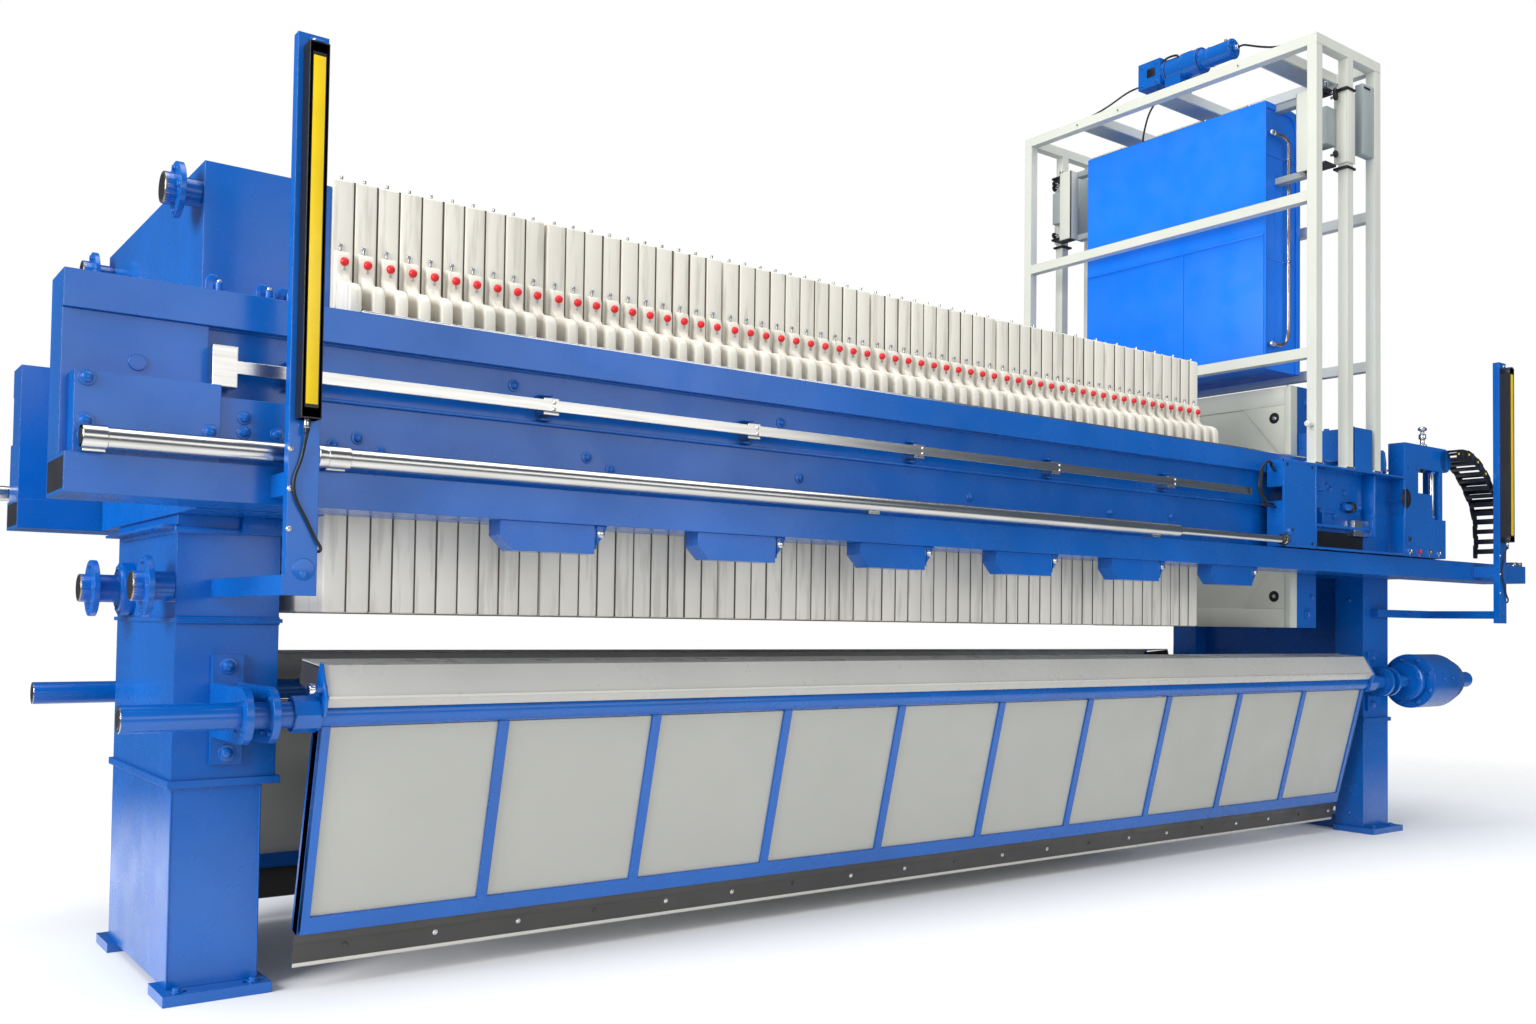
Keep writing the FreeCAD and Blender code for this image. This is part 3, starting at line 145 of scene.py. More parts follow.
def paint(name, colour, roughness=0.3, coat=0.35, spread=0.12, peel=0.05, dust=None):
    """Enamel: a slightly uneven colour, faint orange peel and patches that shine less."""
    material, tree, shader = new_material(name, roughness, coat=coat)
    wide = noise(tree, 1.7, 4.0)
    stops = [(0.3, shade(colour, 1 - spread)), (0.7, shade(colour, 1 + spread))]
    tree.links.new(ramp(tree, wide, stops), shader.inputs["Base Color"])
    rough = tree.nodes.new("ShaderNodeMapRange")
    rough.inputs["From Min"].default_value = 0.35
    rough.inputs["From Max"].default_value = 0.7
    rough.inputs["To Min"].default_value = roughness * 0.8
    rough.inputs["To Max"].default_value = roughness * 1.35
    tree.links.new(noise(tree, 6.0, 6.0), rough.inputs["Value"])
    tree.links.new(rough.outputs["Result"], shader.inputs["Roughness"])
    bump(tree, shader, noise(tree, 320.0, 2.0), peel, 0.0006)
    return material


def steel(name, colour, roughness, stretch, wear=0.12):
    """Ground stainless steel with fine lines along its length."""
    material, tree, shader = new_material(name, roughness, metallic=1.0)
    lines = noise(tree, 60.0, 4.0, stretch)
    tree.links.new(ramp(tree, lines, [(0.3, shade(colour, 1 - wear)), (0.7, shade(colour, 1 + wear))]),
                   shader.inputs["Base Color"])
    bump(tree, shader, lines, 0.08, 0.0004)
    return material


def plastic(name, colour, roughness=0.45, spread=0.1, scale=9.0):
    """Moulded plastic, a little cloudy."""
    material, tree, shader = new_material(name, roughness)
    tree.links.new(ramp(tree, noise(tree, scale, 5.0), [(0.3, shade(colour, 1 - spread)), (0.72, shade(colour, 1 + spread))]),
                   shader.inputs["Base Color"])
    bump(tree, shader, noise(tree, 140.0, 3.0), 0.1, 0.0008)
    return material


def moulded(name, colour):
    """Plate plastic: pale, with grey dirt in streaks down the plates."""
    material, tree, shader = new_material(name, 0.5)
    streaks = noise(tree, 5.0, 6.0, (6, 6, 0.6))
    clouds = noise(tree, 2.2, 5.0)
    base = ramp(tree, clouds, [(0.3, shade(colour, 0.93)), (0.7, shade(colour, 1.05))])
    dirt = ramp(tree, streaks, [(0.34, srgb(158, 152, 140)), (0.46, (1, 1, 1, 1))])
    blend = tree.nodes.new("ShaderNodeMix")
    blend.data_type = "RGBA"
    blend.blend_type = "MULTIPLY"
    blend.inputs[0].default_value = 0.28
    tree.links.new(base, blend.inputs[6])
    tree.links.new(dirt, blend.inputs[7])
    tree.links.new(blend.outputs[2], shader.inputs["Base Color"])
    bump(tree, shader, noise(tree, 60.0, 4.0), 0.15, 0.001)
    return material


BLUE = paint("blue_enamel", srgb(0, 88, 172), 0.25, coat=0.2, spread=0.12)
CABINET = paint("cabinet_enamel", srgb(0, 118, 235), 0.4, coat=0.1, spread=0.05)
WHITE = paint("frame_white_paint", srgb(206, 207, 196), 0.38, coat=0.15, spread=0.04)
FACE = paint("press_face_paint", srgb(200, 201, 188), 0.42, coat=0.1, spread=0.05)
PANEL = paint("door_sheet", srgb(172, 171, 163), 0.4, coat=0.05, spread=0.03, peel=0.0)
HOOD = paint("hood_sheet", srgb(190, 187, 179), 0.3, coat=0.1, spread=0.03, peel=0.0)
DARK = paint("dark_strip", srgb(62, 60, 57), 0.45, coat=0.0, spread=0.2)
IVORY = moulded("plate_ivory_plastic", srgb(216, 211, 198))
BLACK = plastic("black_plastic_housing", srgb(22, 22, 24), 0.4)
YELLOW = plastic("yellow_window", srgb(228, 192, 0), 0.3, 0.05)
RED = plastic("red_cap_plastic", srgb(212, 22, 30), 0.35, 0.08)
STEEL = steel("ground_stainless", (0.62, 0.6, 0.56, 1), 0.22, (0.05, 1, 1))
BOLT = steel("bright_bolt_steel", (0.55, 0.54, 0.52, 1), 0.3, (1, 1, 1))
FINISH = {"blue_paint": BLUE, "cabinet_blue": CABINET, "frame_white": WHITE, "plate_ivory": IVORY, "stainless": STEEL,
          "door_grey": PANEL, "dark_steel": DARK, "black_plastic": BLACK}
NODE_FINISH = {"moving_face": FACE, "front_door_hood": HOOD, "rear_door_hood": HOOD}


def paint_nodes():
    """Every CAD node gets the finish of its slot."""
    for part in frame["record"]["subparts"]:
        item = nodes[part["node"]]
        item.data.materials.clear()
        item.data.materials.append(NODE_FINISH.get(part["node"], FINISH[part["material_slot"]]))

EYE_STEEL = steel("galvanised_eye_steel", (0.5, 0.5, 0.52, 1), 0.34, (1, 1, 1))
BRIGHT = steel("bright_turned_steel", (0.74, 0.73, 0.71, 1), 0.2, (1, 1, 1), 0.06)
BRONZE = steel("warm_bronze_steel", (0.45, 0.36, 0.25, 1), 0.35, (1, 1, 1))
SHADOW = paint("bore_shadow", srgb(18, 18, 22), 0.6, coat=0.0, spread=0.1)
GREY = paint("cover_grey", srgb(150, 158, 158), 0.4, coat=0.1, spread=0.05)
COPPER = steel("copper_hose", (0.5, 0.26, 0.12, 1), 0.3, (1, 1, 1))
# Painted shade: dark brown paint that stands in for the shade in the gaps between the plates.
GAP_SHADE = paint("gap_shade_paint", srgb(84, 72, 58), 0.8, coat=0.0, spread=0.2)


# ---- light and floor ----
def area_light(name, place, target, size, power, colour=(1, 1, 1)):
    """A soft box that looks at a point."""
    data = bpy.data.lights.new(name, "AREA")
    data.shape = "RECTANGLE"
    data.size, data.size_y = size
    data.energy = power
    data.color = colour
    lamp = bpy.data.objects.new(name, data)
    lamp.location = place
    lamp.rotation_euler = (Vector(target) - Vector(place)).to_track_quat("-Z", "Y").to_euler()
    bpy.context.scene.collection.objects.link(lamp)


def make_studio():
    """Soft light from the left and above, and a world that the camera sees white and gloss sees dim blue."""
    world = bpy.data.worlds.new("studio")
    bpy.context.scene.world = world
    world.use_nodes = True
    tree = world.node_tree
    tree.nodes.clear()
    path = tree.nodes.new("ShaderNodeLightPath")
    add = tree.nodes.new("ShaderNodeMath")
    add.operation = "MAXIMUM"
    tree.links.new(path.outputs["Is Camera Ray"], add.inputs[0])
    tree.links.new(path.outputs["Is Transmission Ray"], add.inputs[1])
    dim = tree.nodes.new("ShaderNodeBackground")
    dim.inputs["Color"].default_value = (0.9, 0.95, 1, 1)
    dim.inputs["Strength"].default_value = 0.62
    white = tree.nodes.new("ShaderNodeBackground")
    white.inputs["Color"].default_value = (1, 1, 1, 1)
    mix = tree.nodes.new("ShaderNodeMixShader")
    output = tree.nodes.new("ShaderNodeOutputWorld")
    tree.links.new(add.outputs["Value"], mix.inputs["Fac"])
    tree.links.new(dim.outputs["Background"], mix.inputs[1])
    tree.links.new(white.outputs["Background"], mix.inputs[2])
    gloss = tree.nodes.new("ShaderNodeBackground")
    gloss.inputs["Color"].default_value = (0.55, 0.72, 1, 1)
    gloss.inputs["Strength"].default_value = 0.16
    choose = tree.nodes.new("ShaderNodeMixShader")
    tree.links.new(path.outputs["Is Glossy Ray"], choose.inputs["Fac"])
    tree.links.new(mix.outputs["Shader"], choose.inputs[1])
    tree.links.new(gloss.outputs["Background"], choose.inputs[2])
    tree.links.new(choose.outputs["Shader"], output.inputs["Surface"])
    middle = (-3.6, 0, 1.8)
    area_light("left_box", (-16.0, -3.0, 5.0), middle, (6, 6), 1350)
    area_light("top_box", (-4.0, -1.5, 11.0), middle, (14, 7), 950)
    area_light("front_box", (-2.0, -14.0, 4.0), middle, (14, 5), 360)


def make_floor():
    """A plain pale floor that keeps the press's shadow and fades into the white behind it."""
    mesh = bpy.data.meshes.new("floor")
    reach = 16
    centre = -3.5
    mesh.from_pydata([(centre - reach, -reach, 0), (centre + reach, -reach, 0), (centre + reach, reach, 0),
                      (centre - reach, reach, 0)], [], [(0, 1, 2, 3)])
    floor = bpy.data.objects.new("floor", mesh)
    bpy.context.scene.collection.objects.link(floor)
    material, tree, shader = new_material("pale_floor", 0.8)
    shader.inputs["Base Color"].default_value = (0.9, 0.9, 0.9, 1)
    shader.inputs["Specular IOR Level"].default_value = 0.1
    coordinates = tree.nodes.new("ShaderNodeTexCoord")
    mapping = tree.nodes.new("ShaderNodeMapping")
    mapping.inputs["Location"].default_value = (3.5 / 9.5, 0, 0)
    mapping.inputs["Scale"].default_value = (1 / 9.5, 1 / 6.0, 1)
    ball = tree.nodes.new("ShaderNodeTexGradient")
    ball.gradient_type = "SPHERICAL"
    tree.links.new(coordinates.outputs["Object"], mapping.inputs["Vector"])
    tree.links.new(mapping.outputs["Vector"], ball.inputs["Vector"])
    fade = ramp(tree, ball.outputs["Fac"], [(0.0, (0, 0, 0, 1)), (0.45, (1, 1, 1, 1))])
    clear = tree.nodes.new("ShaderNodeBsdfTransparent")
    mix = tree.nodes.new("ShaderNodeMixShader")
    tree.links.new(fade, mix.inputs["Fac"])
    tree.links.new(clear.outputs["BSDF"], mix.inputs[1])
    tree.links.new(shader.outputs["BSDF"], mix.inputs[2])
    tree.links.new(mix.outputs["Shader"], tree.nodes["Material Output"].inputs["Surface"])
    mesh.materials.append(material)


# ---- building small parts ----
def spin_to(direction):
    """The turn that takes +Z to a direction."""
    return Vector(direction).to_track_quat("Z", "Y").to_matrix().to_4x4()


class Piece:
    """One visible piece: simple solids gathered in a mesh, each with one of the piece's finishes."""

    def __init__(self, name, body, *finishes):
        self.name = name
        self.body = body
        self.finishes = finishes
        self.mesh = bmesh.new()

    def take(self, solid, finish, bevel, segments=2):
        """Add a finished solid, with its sharp edges rounded."""
        if bevel:
            edges = [edge for edge in solid.edges if edge.calc_face_angle(0) > math.radians(35)]
            bmesh.ops.bevel(solid, geom=edges, offset=bevel, segments=segments, profile=0.5, affect="EDGES",
                            clamp_overlap=True)
        for face in solid.faces:
            face.material_index = finish
        part = bpy.data.meshes.new("part")
        solid.to_mesh(part)
        solid.free()
        self.mesh.from_mesh(part)
        bpy.data.meshes.remove(part)

    def box(self, low, high, finish=0, bevel=0.0, segments=2):
        """A block between two corners, with its edges rounded."""
        solid = bmesh.new()
        low, high = Vector(low), Vector(high)
        matrix = Matrix.Translation((low + high) / 2) @ Matrix.Diagonal(high - low).to_4x4()
        bmesh.ops.create_cube(solid, size=1, matrix=matrix)
        self.take(solid, finish, bevel, segments)

    def rod(self, start, end, radius, finish=0, bevel=0.0, sides=24, tip=None):
        """A round bar, or a cone when the tip has a radius of its own."""
        start, end = Vector(start), Vector(end)
        solid = bmesh.new()
        matrix = Matrix.Translation((start + end) / 2) @ spin_to(end - start)
        bmesh.ops.create_cone(solid, cap_ends=True, segments=sides, radius1=radius,
                              radius2=radius if tip is None else tip, depth=(end - start).length, matrix=matrix)
        self.take(solid, finish, bevel)

    def prism(self, outline, along, low, high, finish=0, bevel=0.0):
        """An outline in the plane across an axis, stretched from low to high along it."""
        order = {"x": (2, 0, 1), "y": (0, 2, 1), "z": (0, 1, 2)}[along]
        solid = bmesh.new()

        def spot(corner, level):
            flat = (corner[0], corner[1], level)
            return tuple(flat[index] for index in order)
        base = [solid.verts.new(spot(corner, low)) for corner in outline]
        face = solid.faces.new(base)
        lifted = bmesh.ops.extrude_face_region(solid, geom=[face])["geom"]
        move = spot((0, 0), high - low)
        bmesh.ops.translate(solid, vec=move, verts=[item for item in lifted if isinstance(item, bmesh.types.BMVert)])
        bmesh.ops.recalc_face_normals(solid, faces=solid.faces)
        self.take(solid, finish, bevel)

    def lathe(self, profile, start, direction, finish=0, sides=32):
        """A profile of (distance, radius) pairs turned about a line."""
        solid = bmesh.new()
        turn = Matrix.Translation(Vector(start)) @ spin_to(direction)
        rings = []
        for distance, radius in profile:
            ring = []
            for index in range(sides):
                angle = 2 * math.pi * index / sides
                ring.append(solid.verts.new(turn @ Vector((radius * math.cos(angle), radius * math.sin(angle), distance))))
            rings.append(ring)
        for near, far in zip(rings, rings[1:]):
            for index in range(sides):
                after = (index + 1) % sides
                solid.faces.new((near[index], near[after], far[after], far[index]))
        solid.faces.new(rings[0][::-1])
        solid.faces.new(rings[-1])
        self.take(solid, finish, 0)

    def tube(self, points, radius, finish=0, sides=12, steps=8):
        """A bent tube through the points, smooth between them."""
        line = smooth_line(points, steps)
        solid = bmesh.new()
        rings = []
        side = None
        for index, point in enumerate(line):
            ahead = (line[min(index + 1, len(line) - 1)] - line[max(index - 1, 0)]).normalized()
            if side is None:
                side = ahead.orthogonal()
            side = (side - ahead * side.dot(ahead)).normalized()
            other = ahead.cross(side)
            ring = []
            for step in range(sides):
                angle = 2 * math.pi * step / sides
                ring.append(solid.verts.new(point + radius * (side * math.cos(angle) + other * math.sin(angle))))
            rings.append(ring)
        for near, far in zip(rings, rings[1:]):
            for step in range(sides):
                after = (step + 1) % sides
                solid.faces.new((near[step], near[after], far[after], far[step]))
        solid.faces.new(rings[0][::-1])
        solid.faces.new(rings[-1])
        self.take(solid, finish, 0)

    def ball(self, centre, radius, finish=0, squash=(1, 1, 1)):
        """A sphere, or an ellipsoid when squashed."""
        solid = bmesh.new()
        matrix = Matrix.Translation(Vector(centre)) @ Matrix.Diagonal(Vector(squash)).to_4x4()
        bmesh.ops.create_uvsphere(solid, u_segments=16, v_segments=10, radius=radius, matrix=matrix)
        self.take(solid, finish, 0)

    def bolt(self, place, direction, radius, finish=0, washer=True):
        """A hexagon head on a washer, on a face that looks in the direction."""
        place, direction = Vector(place), Vector(direction).normalized()
        if washer:
            self.rod(place, place + direction * radius * 0.25, radius * 1.45, finish, radius * 0.06, 20)
        self.rod(place, place + direction * radius * 0.95, radius, finish, radius * 0.12, 6)

    def dome(self, place, direction, radius, finish=0):
        """A painted round bolt head on its washer."""
        profile = [(0, radius * 1.5), (radius * 0.25, radius * 1.45), (radius * 0.3, radius * 0.95),
                   (radius * 0.7, radius * 0.85), (radius * 0.95, radius * 0.5), (radius, radius * 0.15)]
        self.lathe(profile, place, direction, finish, 16)

    def done(self, angle=38):
        """Make the object, shade it and let it ride on its body."""
        mesh = bpy.data.meshes.new(self.name)
        bmesh.ops.recalc_face_normals(self.mesh, faces=self.mesh.faces)
        for face in self.mesh.faces:
            face.smooth = True
        self.mesh.to_mesh(mesh)
        self.mesh.free()
        mesh.set_sharp_from_angle(angle=math.radians(angle))
        for finish in self.finishes:
            mesh.materials.append(finish)
        item = bpy.data.objects.new(self.name, mesh)
        bpy.context.scene.collection.objects.link(item)
        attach(item, self.body)
        return item


def smooth_line(points, steps):
    """Points along a smooth line through the given ones."""
    points = [Vector(point) for point in points]
    line = []
    for index in range(len(points) - 1):
        first, second = points[index], points[index + 1]
        before = points[index - 1] if index else first * 2 - second
        after = points[index + 2] if index + 2 < len(points) else second * 2 - first
        for step in range(steps):
            t = step / steps
            line.append(0.5 * (2 * first + (second - before) * t + (2 * before - 5 * first + 4 * second - after) * t ** 2
                               + (3 * first - before - 3 * second + after) * t ** 3))
    line.append(points[-1])
    return line


def span(low, high, share):
    """A place between two values."""
    return low + (high - low) * share


# ---- plate pack ----
def side_points(side, points):
    """Outline points given as distance from the centreline and level, put on one side of the press."""
    return [(side * across, level) for across, level in points]


def plate_group(number):
    """Ten moulded plates with their handles, red caps and lifting eyes; they stand for the plain solids."""
    node = f"plates_{number}"
    low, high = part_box(node)
    gap = 1 * MM
    count = 10
    thick = ((high.x - low.x) - (count - 1) * gap) / count
    half = 750 * MM
    roof = 2814 * MM
    piece = Piece(f"pack_{number}", "frame", IVORY, RED, EYE_STEEL)
    neck_half, grip_half = 27 * MM, 21 * MM
    for index in range(count):
        start = low.x + index * (thick + gap)
        middle = start + thick / 2
        lean = random.uniform(-2, 2) * MM
        piece.box((start, -half + lean, low.z), (start + thick, half + lean, roof - 4 * MM), 0, 9 * MM, 3)
        ridge = [(start + 6 * MM, roof - 12 * MM), (start + thick - 6 * MM, roof - 12 * MM), (middle, roof + 8 * MM)]
        piece.prism(ridge, "y", -half + 30 * MM, half - 30 * MM, 0)
        for side in (-1, 1):
            neck = [(700, 2330), (766, 2360), (772, 2440), (774, 2535), (768, 2552), (748, 2560), (700, 2560)]
            piece.prism([(side * y * MM, z * MM) for y, z in neck], "x", middle - neck_half, middle + neck_half, 0, 5 * MM)
            grip = [(740, 2500), (772, 2478), (784, 2458), (800, 2442), (860, 2428), (884, 2416), (897, 2392),
                    (899, 2318), (892, 2303), (820, 2301), (745, 2330)]
            piece.prism([(side * y * MM, z * MM) for y, z in grip], "x", middle - grip_half, middle + grip_half, 0, 5 * MM)
            cap = Vector((middle, side * 772 * MM, 2517 * MM))
            piece.lathe([(0, 14 * MM), (8 * MM, 15.5 * MM), (15 * MM, 12.5 * MM), (19 * MM, 6 * MM)], cap, (0, side, 0.15), 1, 14)
            pin = Vector((middle, side * 772 * MM, 2494 * MM))
            piece.rod(pin, pin + Vector((0, side * 6 * MM, 0)), 5 * MM, 2, 0, 10)
            eye = Vector((middle - 8 * MM, side * 756 * MM, 2558 * MM))
            piece.rod(eye, eye + Vector((0, 0, 14 * MM)), 4 * MM, 2, 0, 8)
            piece.ball(eye + Vector((0, 0, 20 * MM)), 8 * MM, 2, (1, 0.5, 1))
        if index % 2 or number < 5:
            spot = Vector((middle, -half + 20 * MM, roof))
            piece.rod(spot, spot + Vector((0, 0, 12 * MM)), 5 * MM, 2, 0, 8)
    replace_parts(piece.done(), node)


# ---- side beams and rails ----
def beam_trims(side_name, side):
    """The wear strips on a beam's top, its web stiffeners and the weld line under its band."""
    low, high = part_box(f"side_beam_{side_name}")
    rail_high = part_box("lower_rails")[1]
    piece = Piece(f"beam_trims_{side_name}", "frame", BRIGHT, BLUE, DARK)
    starts = low.x + 880 * MM
    for inner, outer in ((902, 934), (944, 992)):
        piece.box((starts, min(side * inner * MM, side * outer * MM), high.z),
                  (high.x - 20 * MM, max(side * inner * MM, side * outer * MM), high.z + 9 * MM), 0, 1.5 * MM)
    weld = high.z - 112 * MM
    for level in (weld, rail_high.z):
        points = [(low.x + 5 * MM, side * (960 * MM), level), (high.x - 5 * MM, side * (960 * MM), level)]
        piece.rod(points[0], points[1], 5 * MM, 1, 0, 8)
    piece.box((low.x + 700 * MM, min(side * 960 * MM, side * 974 * MM), weld - 190 * MM),
              (high.x - 100 * MM, max(side * 960 * MM, side * 974 * MM), weld - 178 * MM), 1, 3 * MM)
    piece.done()


def rail_ends():
    """The hollow ends of the square rails."""
    piece = Piece("rail_ends", "frame", SHADOW, BLUE)
    wall = 12 * MM
    low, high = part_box("lower_rails")
    for side, start in ((-1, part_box("side_beam_front")[0].x), (1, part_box("side_beam_rear")[0].x)):
        y0, y1 = sorted((side * (800 * MM + wall), side * (1085 * MM - wall)))
        for x, out in ((start, 1), (high.x, -1)):
            piece.box((x - 0.3 * MM, y0, low.z + wall), (x + 0.3 * MM, y1, high.z - wall), 0)
    piece.done()


def rod_trims():
    """Collars, couplings and joints of the two side cylinders."""
    piece = Piece("side_cylinder_trims", "frame", STEEL, DARK, BLUE, SHADOW)
    for side in (-1, 1):
        y = side * 1120 * MM
        z = 1800 * MM
        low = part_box("side_cylinder_barrels")[0]
        piece.lathe([(0, 33 * MM), (2 * MM, 35 * MM), (66 * MM, 35 * MM), (68 * MM, 33 * MM)], (low.x, y, z), (1, 0, 0), 0)
        piece.rod((low.x - 1 * MM, y, z), (low.x + 4 * MM, y, z), 24 * MM, 3)
        for start, length, wide, finish in ((570, 26, 36, 0), (600, 60, 24, 1), (664, 34, 40, 0), (700, 14, 35, 1), (716, 40, 38, 0)):
            x = low.x + start * MM
            piece.rod((x, y, z), (x + length * MM, y, z), min(wide, 36.9) * MM, finish, 2 * MM)
    piece.done()


def rod_heads():
    """The clamp and ball nut where each piston rod meets its carriage."""
    piece = Piece("piston_rod_heads", "head", BRIGHT, BLACK)
    low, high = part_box("piston_rods")
    for side in (-1, 1):
        y = side * 1120 * MM
        z = 1800 * MM
        piece.rod((high.x - 44 * MM, y, z), (high.x - 28 * MM, y, z), 29 * MM, 1, 3 * MM, 20)
        piece.ball((high.x - 16 * MM, y, z), 27 * MM, 0)
        piece.rod((high.x - 10 * MM, y, z), (high.x - 1 * MM, y, z), 33 * MM, 1, 2 * MM)
        piece.bolt((high.x - 36 * MM, y, z + 27 * MM), (0, 0, 1), 5 * MM, 1)
    piece.done()


def guide_bar_trims(side):
    """Painted bolts on the guide bar's clips and along the beam's web."""
    piece = Piece(f"web_bolts_{'front' if side < 0 else 'rear'}", "frame", BLUE, BRIGHT)
    head = -7295 * MM
    web = side * 960 * MM
    out = (0, side, 0)
    for index in range(6):
        x = head + (180 + 900 * index + 30) * MM
        for drop in (-26, 62):
            piece.box((x - 22 * MM, min(web, web + side * 36 * MM), (2040 + drop) * MM),
                      (x + 22 * MM, max(web, web + side * 36 * MM), (2046 + drop) * MM), 0, 1 * MM)
        for level in (2048, 2071):
            piece.bolt((x, side * 1050 * MM, level * MM), out, 5 * MM, 1)
    for x, z in ((-7690, 1850), (-7690, 1975), (-7350, 1850)):
        piece.dome((x * MM, side * 1075 * MM, z * MM), out, 17 * MM)
    for x, z in ((-7250, 1860), (-7250, 1905), (-7150, 1862)):
        piece.dome((x * MM, side * 1060 * MM, z * MM), out, 15 * MM)
    for x, z in ((-6940, 1860), (-6860, 1890), (-6780, 1850), (-6000, 1900), (-5900, 1862), (-5000, 1900), (-4000, 1890),
                 (-3000, 1880), (-2500, 1890), (-6300, 2130), (-5100, 2120)):
        piece.dome((x * MM, side * 960 * MM, z * MM), out, 15 * MM)
    piece.lathe([(0, 26 * MM), (6 * MM, 25 * MM), (7 * MM, 12 * MM)], (-7540 * MM, side * 985 * MM, 2050 * MM), out, 0, 24)
    piece.done()


def bracket_trims():
    """The gusset and clamp bolt at the far end of each rail bracket."""
    piece = Piece("bracket_trims", "frame", BLUE, BRIGHT, BLACK)
    for side in (-1, 1):
        for index in range(6):
            end = (-7295 + 901 + 820 * index + 370) * MM
            y = side * 1072 * MM
            piece.prism([(end, 1642 * MM), (end + 52 * MM, 1642 * MM), (end + 34 * MM, 1600 * MM), (end, 1560 * MM)], "y",
                        min(y, y - side * 20 * MM), max(y, y - side * 20 * MM), 0, 2 * MM)
            piece.bolt((end + 26 * MM, y, 1612 * MM), (0, side, 0), 10 * MM, 1)
            piece.box((end + 2 * MM, min(y, y - side * 80 * MM), 1556 * MM), (end + 8 * MM, max(y, y - side * 80 * MM), 1640 * MM), 0, 1 * MM)
    piece.done()


# ---- head stand and ports ----
def stand_trims():
    """Weld beads, corner seams and foot bolts of the head stand."""
    piece = Piece("head_stand_trims", "frame", BLUE, SHADOW, BRIGHT)
    x0, x1 = -7295 * MM, -6950 * MM
    front = -464 * MM
    for level, deep in ((1289, 6), (1275, 6)):
        piece.rod((x0, front - deep * MM, level * MM), (x1, front - deep * MM, level * MM), 7 * MM, 0, 0, 8)
    piece.box((-7305 * MM, -480 * MM, 1578 * MM), (-7080 * MM, 400 * MM, 1600 * MM), 0, 2 * MM)
    piece.box((-7345 * MM, -470 * MM, 1596 * MM), (-7295 * MM, 470 * MM, 1606 * MM), 0, 2 * MM)
    piece.box((-7088 * MM, -500 * MM, 1582 * MM), (-6944 * MM, -464 * MM, 1642 * MM), 0, 2 * MM)
    piece.box((-7088 * MM, 464 * MM, 1582 * MM), (-6944 * MM, 500 * MM, 1642 * MM), 0, 2 * MM)
    for x in (-7292, -7000):
        piece.rod((x * MM, front, 60 * MM), (x * MM, front, 700 * MM), 3 * MM, 0, 0, 8)
    for y in (-510, 510):
        for x in (-7270, -7022):
            piece.bolt((x * MM, y * MM, 37 * MM), (0, 0, 1), 15 * MM, 0)
    piece.done()


def port_trims():
    """Ferrule liners, flange bolts, clamps and lugs of the four ports."""
    piece = Piece("port_trims", "frame", BLUE, BRIGHT, SHADOW, BRONZE)
    ports = [(-7385, -688, 2680, 78, 38, 70), (-7385, 688, 2680, 78, 38, 70), (-7390, -408, 1395, 95, 44, 85),
             (-7440, 227, 1395, 95, 44, 85)]
    for x, y, z, flange, bore, circle in ports:
        tip = (x - 34) * MM
        place = Vector((tip, y * MM, z * MM))
        piece.lathe([(-3 * MM, 50 * MM), (0, 52 * MM), (10 * MM, 52 * MM), (12 * MM, 46 * MM)], place, (1, 0, 0), 3)
        piece.lathe([(-3.4 * MM, 47 * MM), (3 * MM, 47 * MM)], place, (1, 0, 0), 1)
        piece.rod(place + Vector((-4 * MM, 0, 0)), place + Vector((2 * MM, 0, 0)), (bore + 3) * MM, 2)
        for turn in range(4):
            angle = math.radians(90 * turn)
            spot = Vector((x * MM, y * MM + circle * MM * math.cos(angle), z * MM + circle * MM * math.sin(angle)))
            piece.bolt(spot, (-1, 0, 0), 9 * MM, 0)
    clamp = Vector((-7346 * MM, 227 * MM, 1395 * MM))
    piece.rod(clamp, clamp + Vector((46 * MM, 0, 0)), 82 * MM, 0, 6 * MM)
    for up in (-1, 1):
        spot = clamp + Vector((8 * MM, 0, up * 74 * MM))
        piece.rod(spot, spot + Vector((30 * MM, 0, 0)), 26 * MM, 0, 4 * MM, 12)
        piece.rod(spot + Vector((-12 * MM, 0, 0)), spot + Vector((44 * MM, 0, 0)), 11 * MM, 0, 2 * MM, 6)
    piece.done()


def beam_lugs():
    """Bolted lugs on the beams' tops beside the fixed head."""
    piece = Piece("beam_lugs", "frame", BLUE, BRIGHT)
    for side in (-1, 1):
        y = side * 930 * MM
        for x, tall in ((-7320, 62), (-7168, 55), (-7103, 55)):
            outline = [(x * MM - 24 * MM, 2300 * MM), (x * MM + 26 * MM, 2300 * MM), (x * MM + 26 * MM, (2300 + tall * 0.55) * MM),
                       (x * MM + 12 * MM, (2300 + tall) * MM), (x * MM - 10 * MM, (2300 + tall) * MM), (x * MM - 22 * MM, (2300 + tall * 0.7) * MM)]
            piece.prism(outline, "y", y - 9 * MM, y + 9 * MM, 0, 3 * MM)
            piece.rod((x * MM + 14 * MM, y + side * 26 * MM, 2300 * MM), (x * MM + 14 * MM, y + side * 26 * MM, 2334 * MM), 13 * MM, 0, 2 * MM, 6)
            piece.rod((x * MM + 14 * MM, y + side * 26 * MM, 2334 * MM), (x * MM + 14 * MM, y + side * 26 * MM, 2342 * MM), 8 * MM, 1, 2 * MM, 12)
    piece.done()


# ---- drip doors and their bearings ----
LEAN = math.radians(13.8)
SHAFT_Y, SHAFT_Z = 820 * MM, 975 * MM
DOOR_START, DOOR_END = -6923 * MM, -333 * MM


def hang(item, side):
    """Turn a piece drawn upright about the shaft to the door's rest place."""
    turn = Matrix.Translation((0, side * SHAFT_Y, SHAFT_Z)) @ Matrix.Rotation(-side * LEAN, 4, "X")
    item.data.transform(turn)


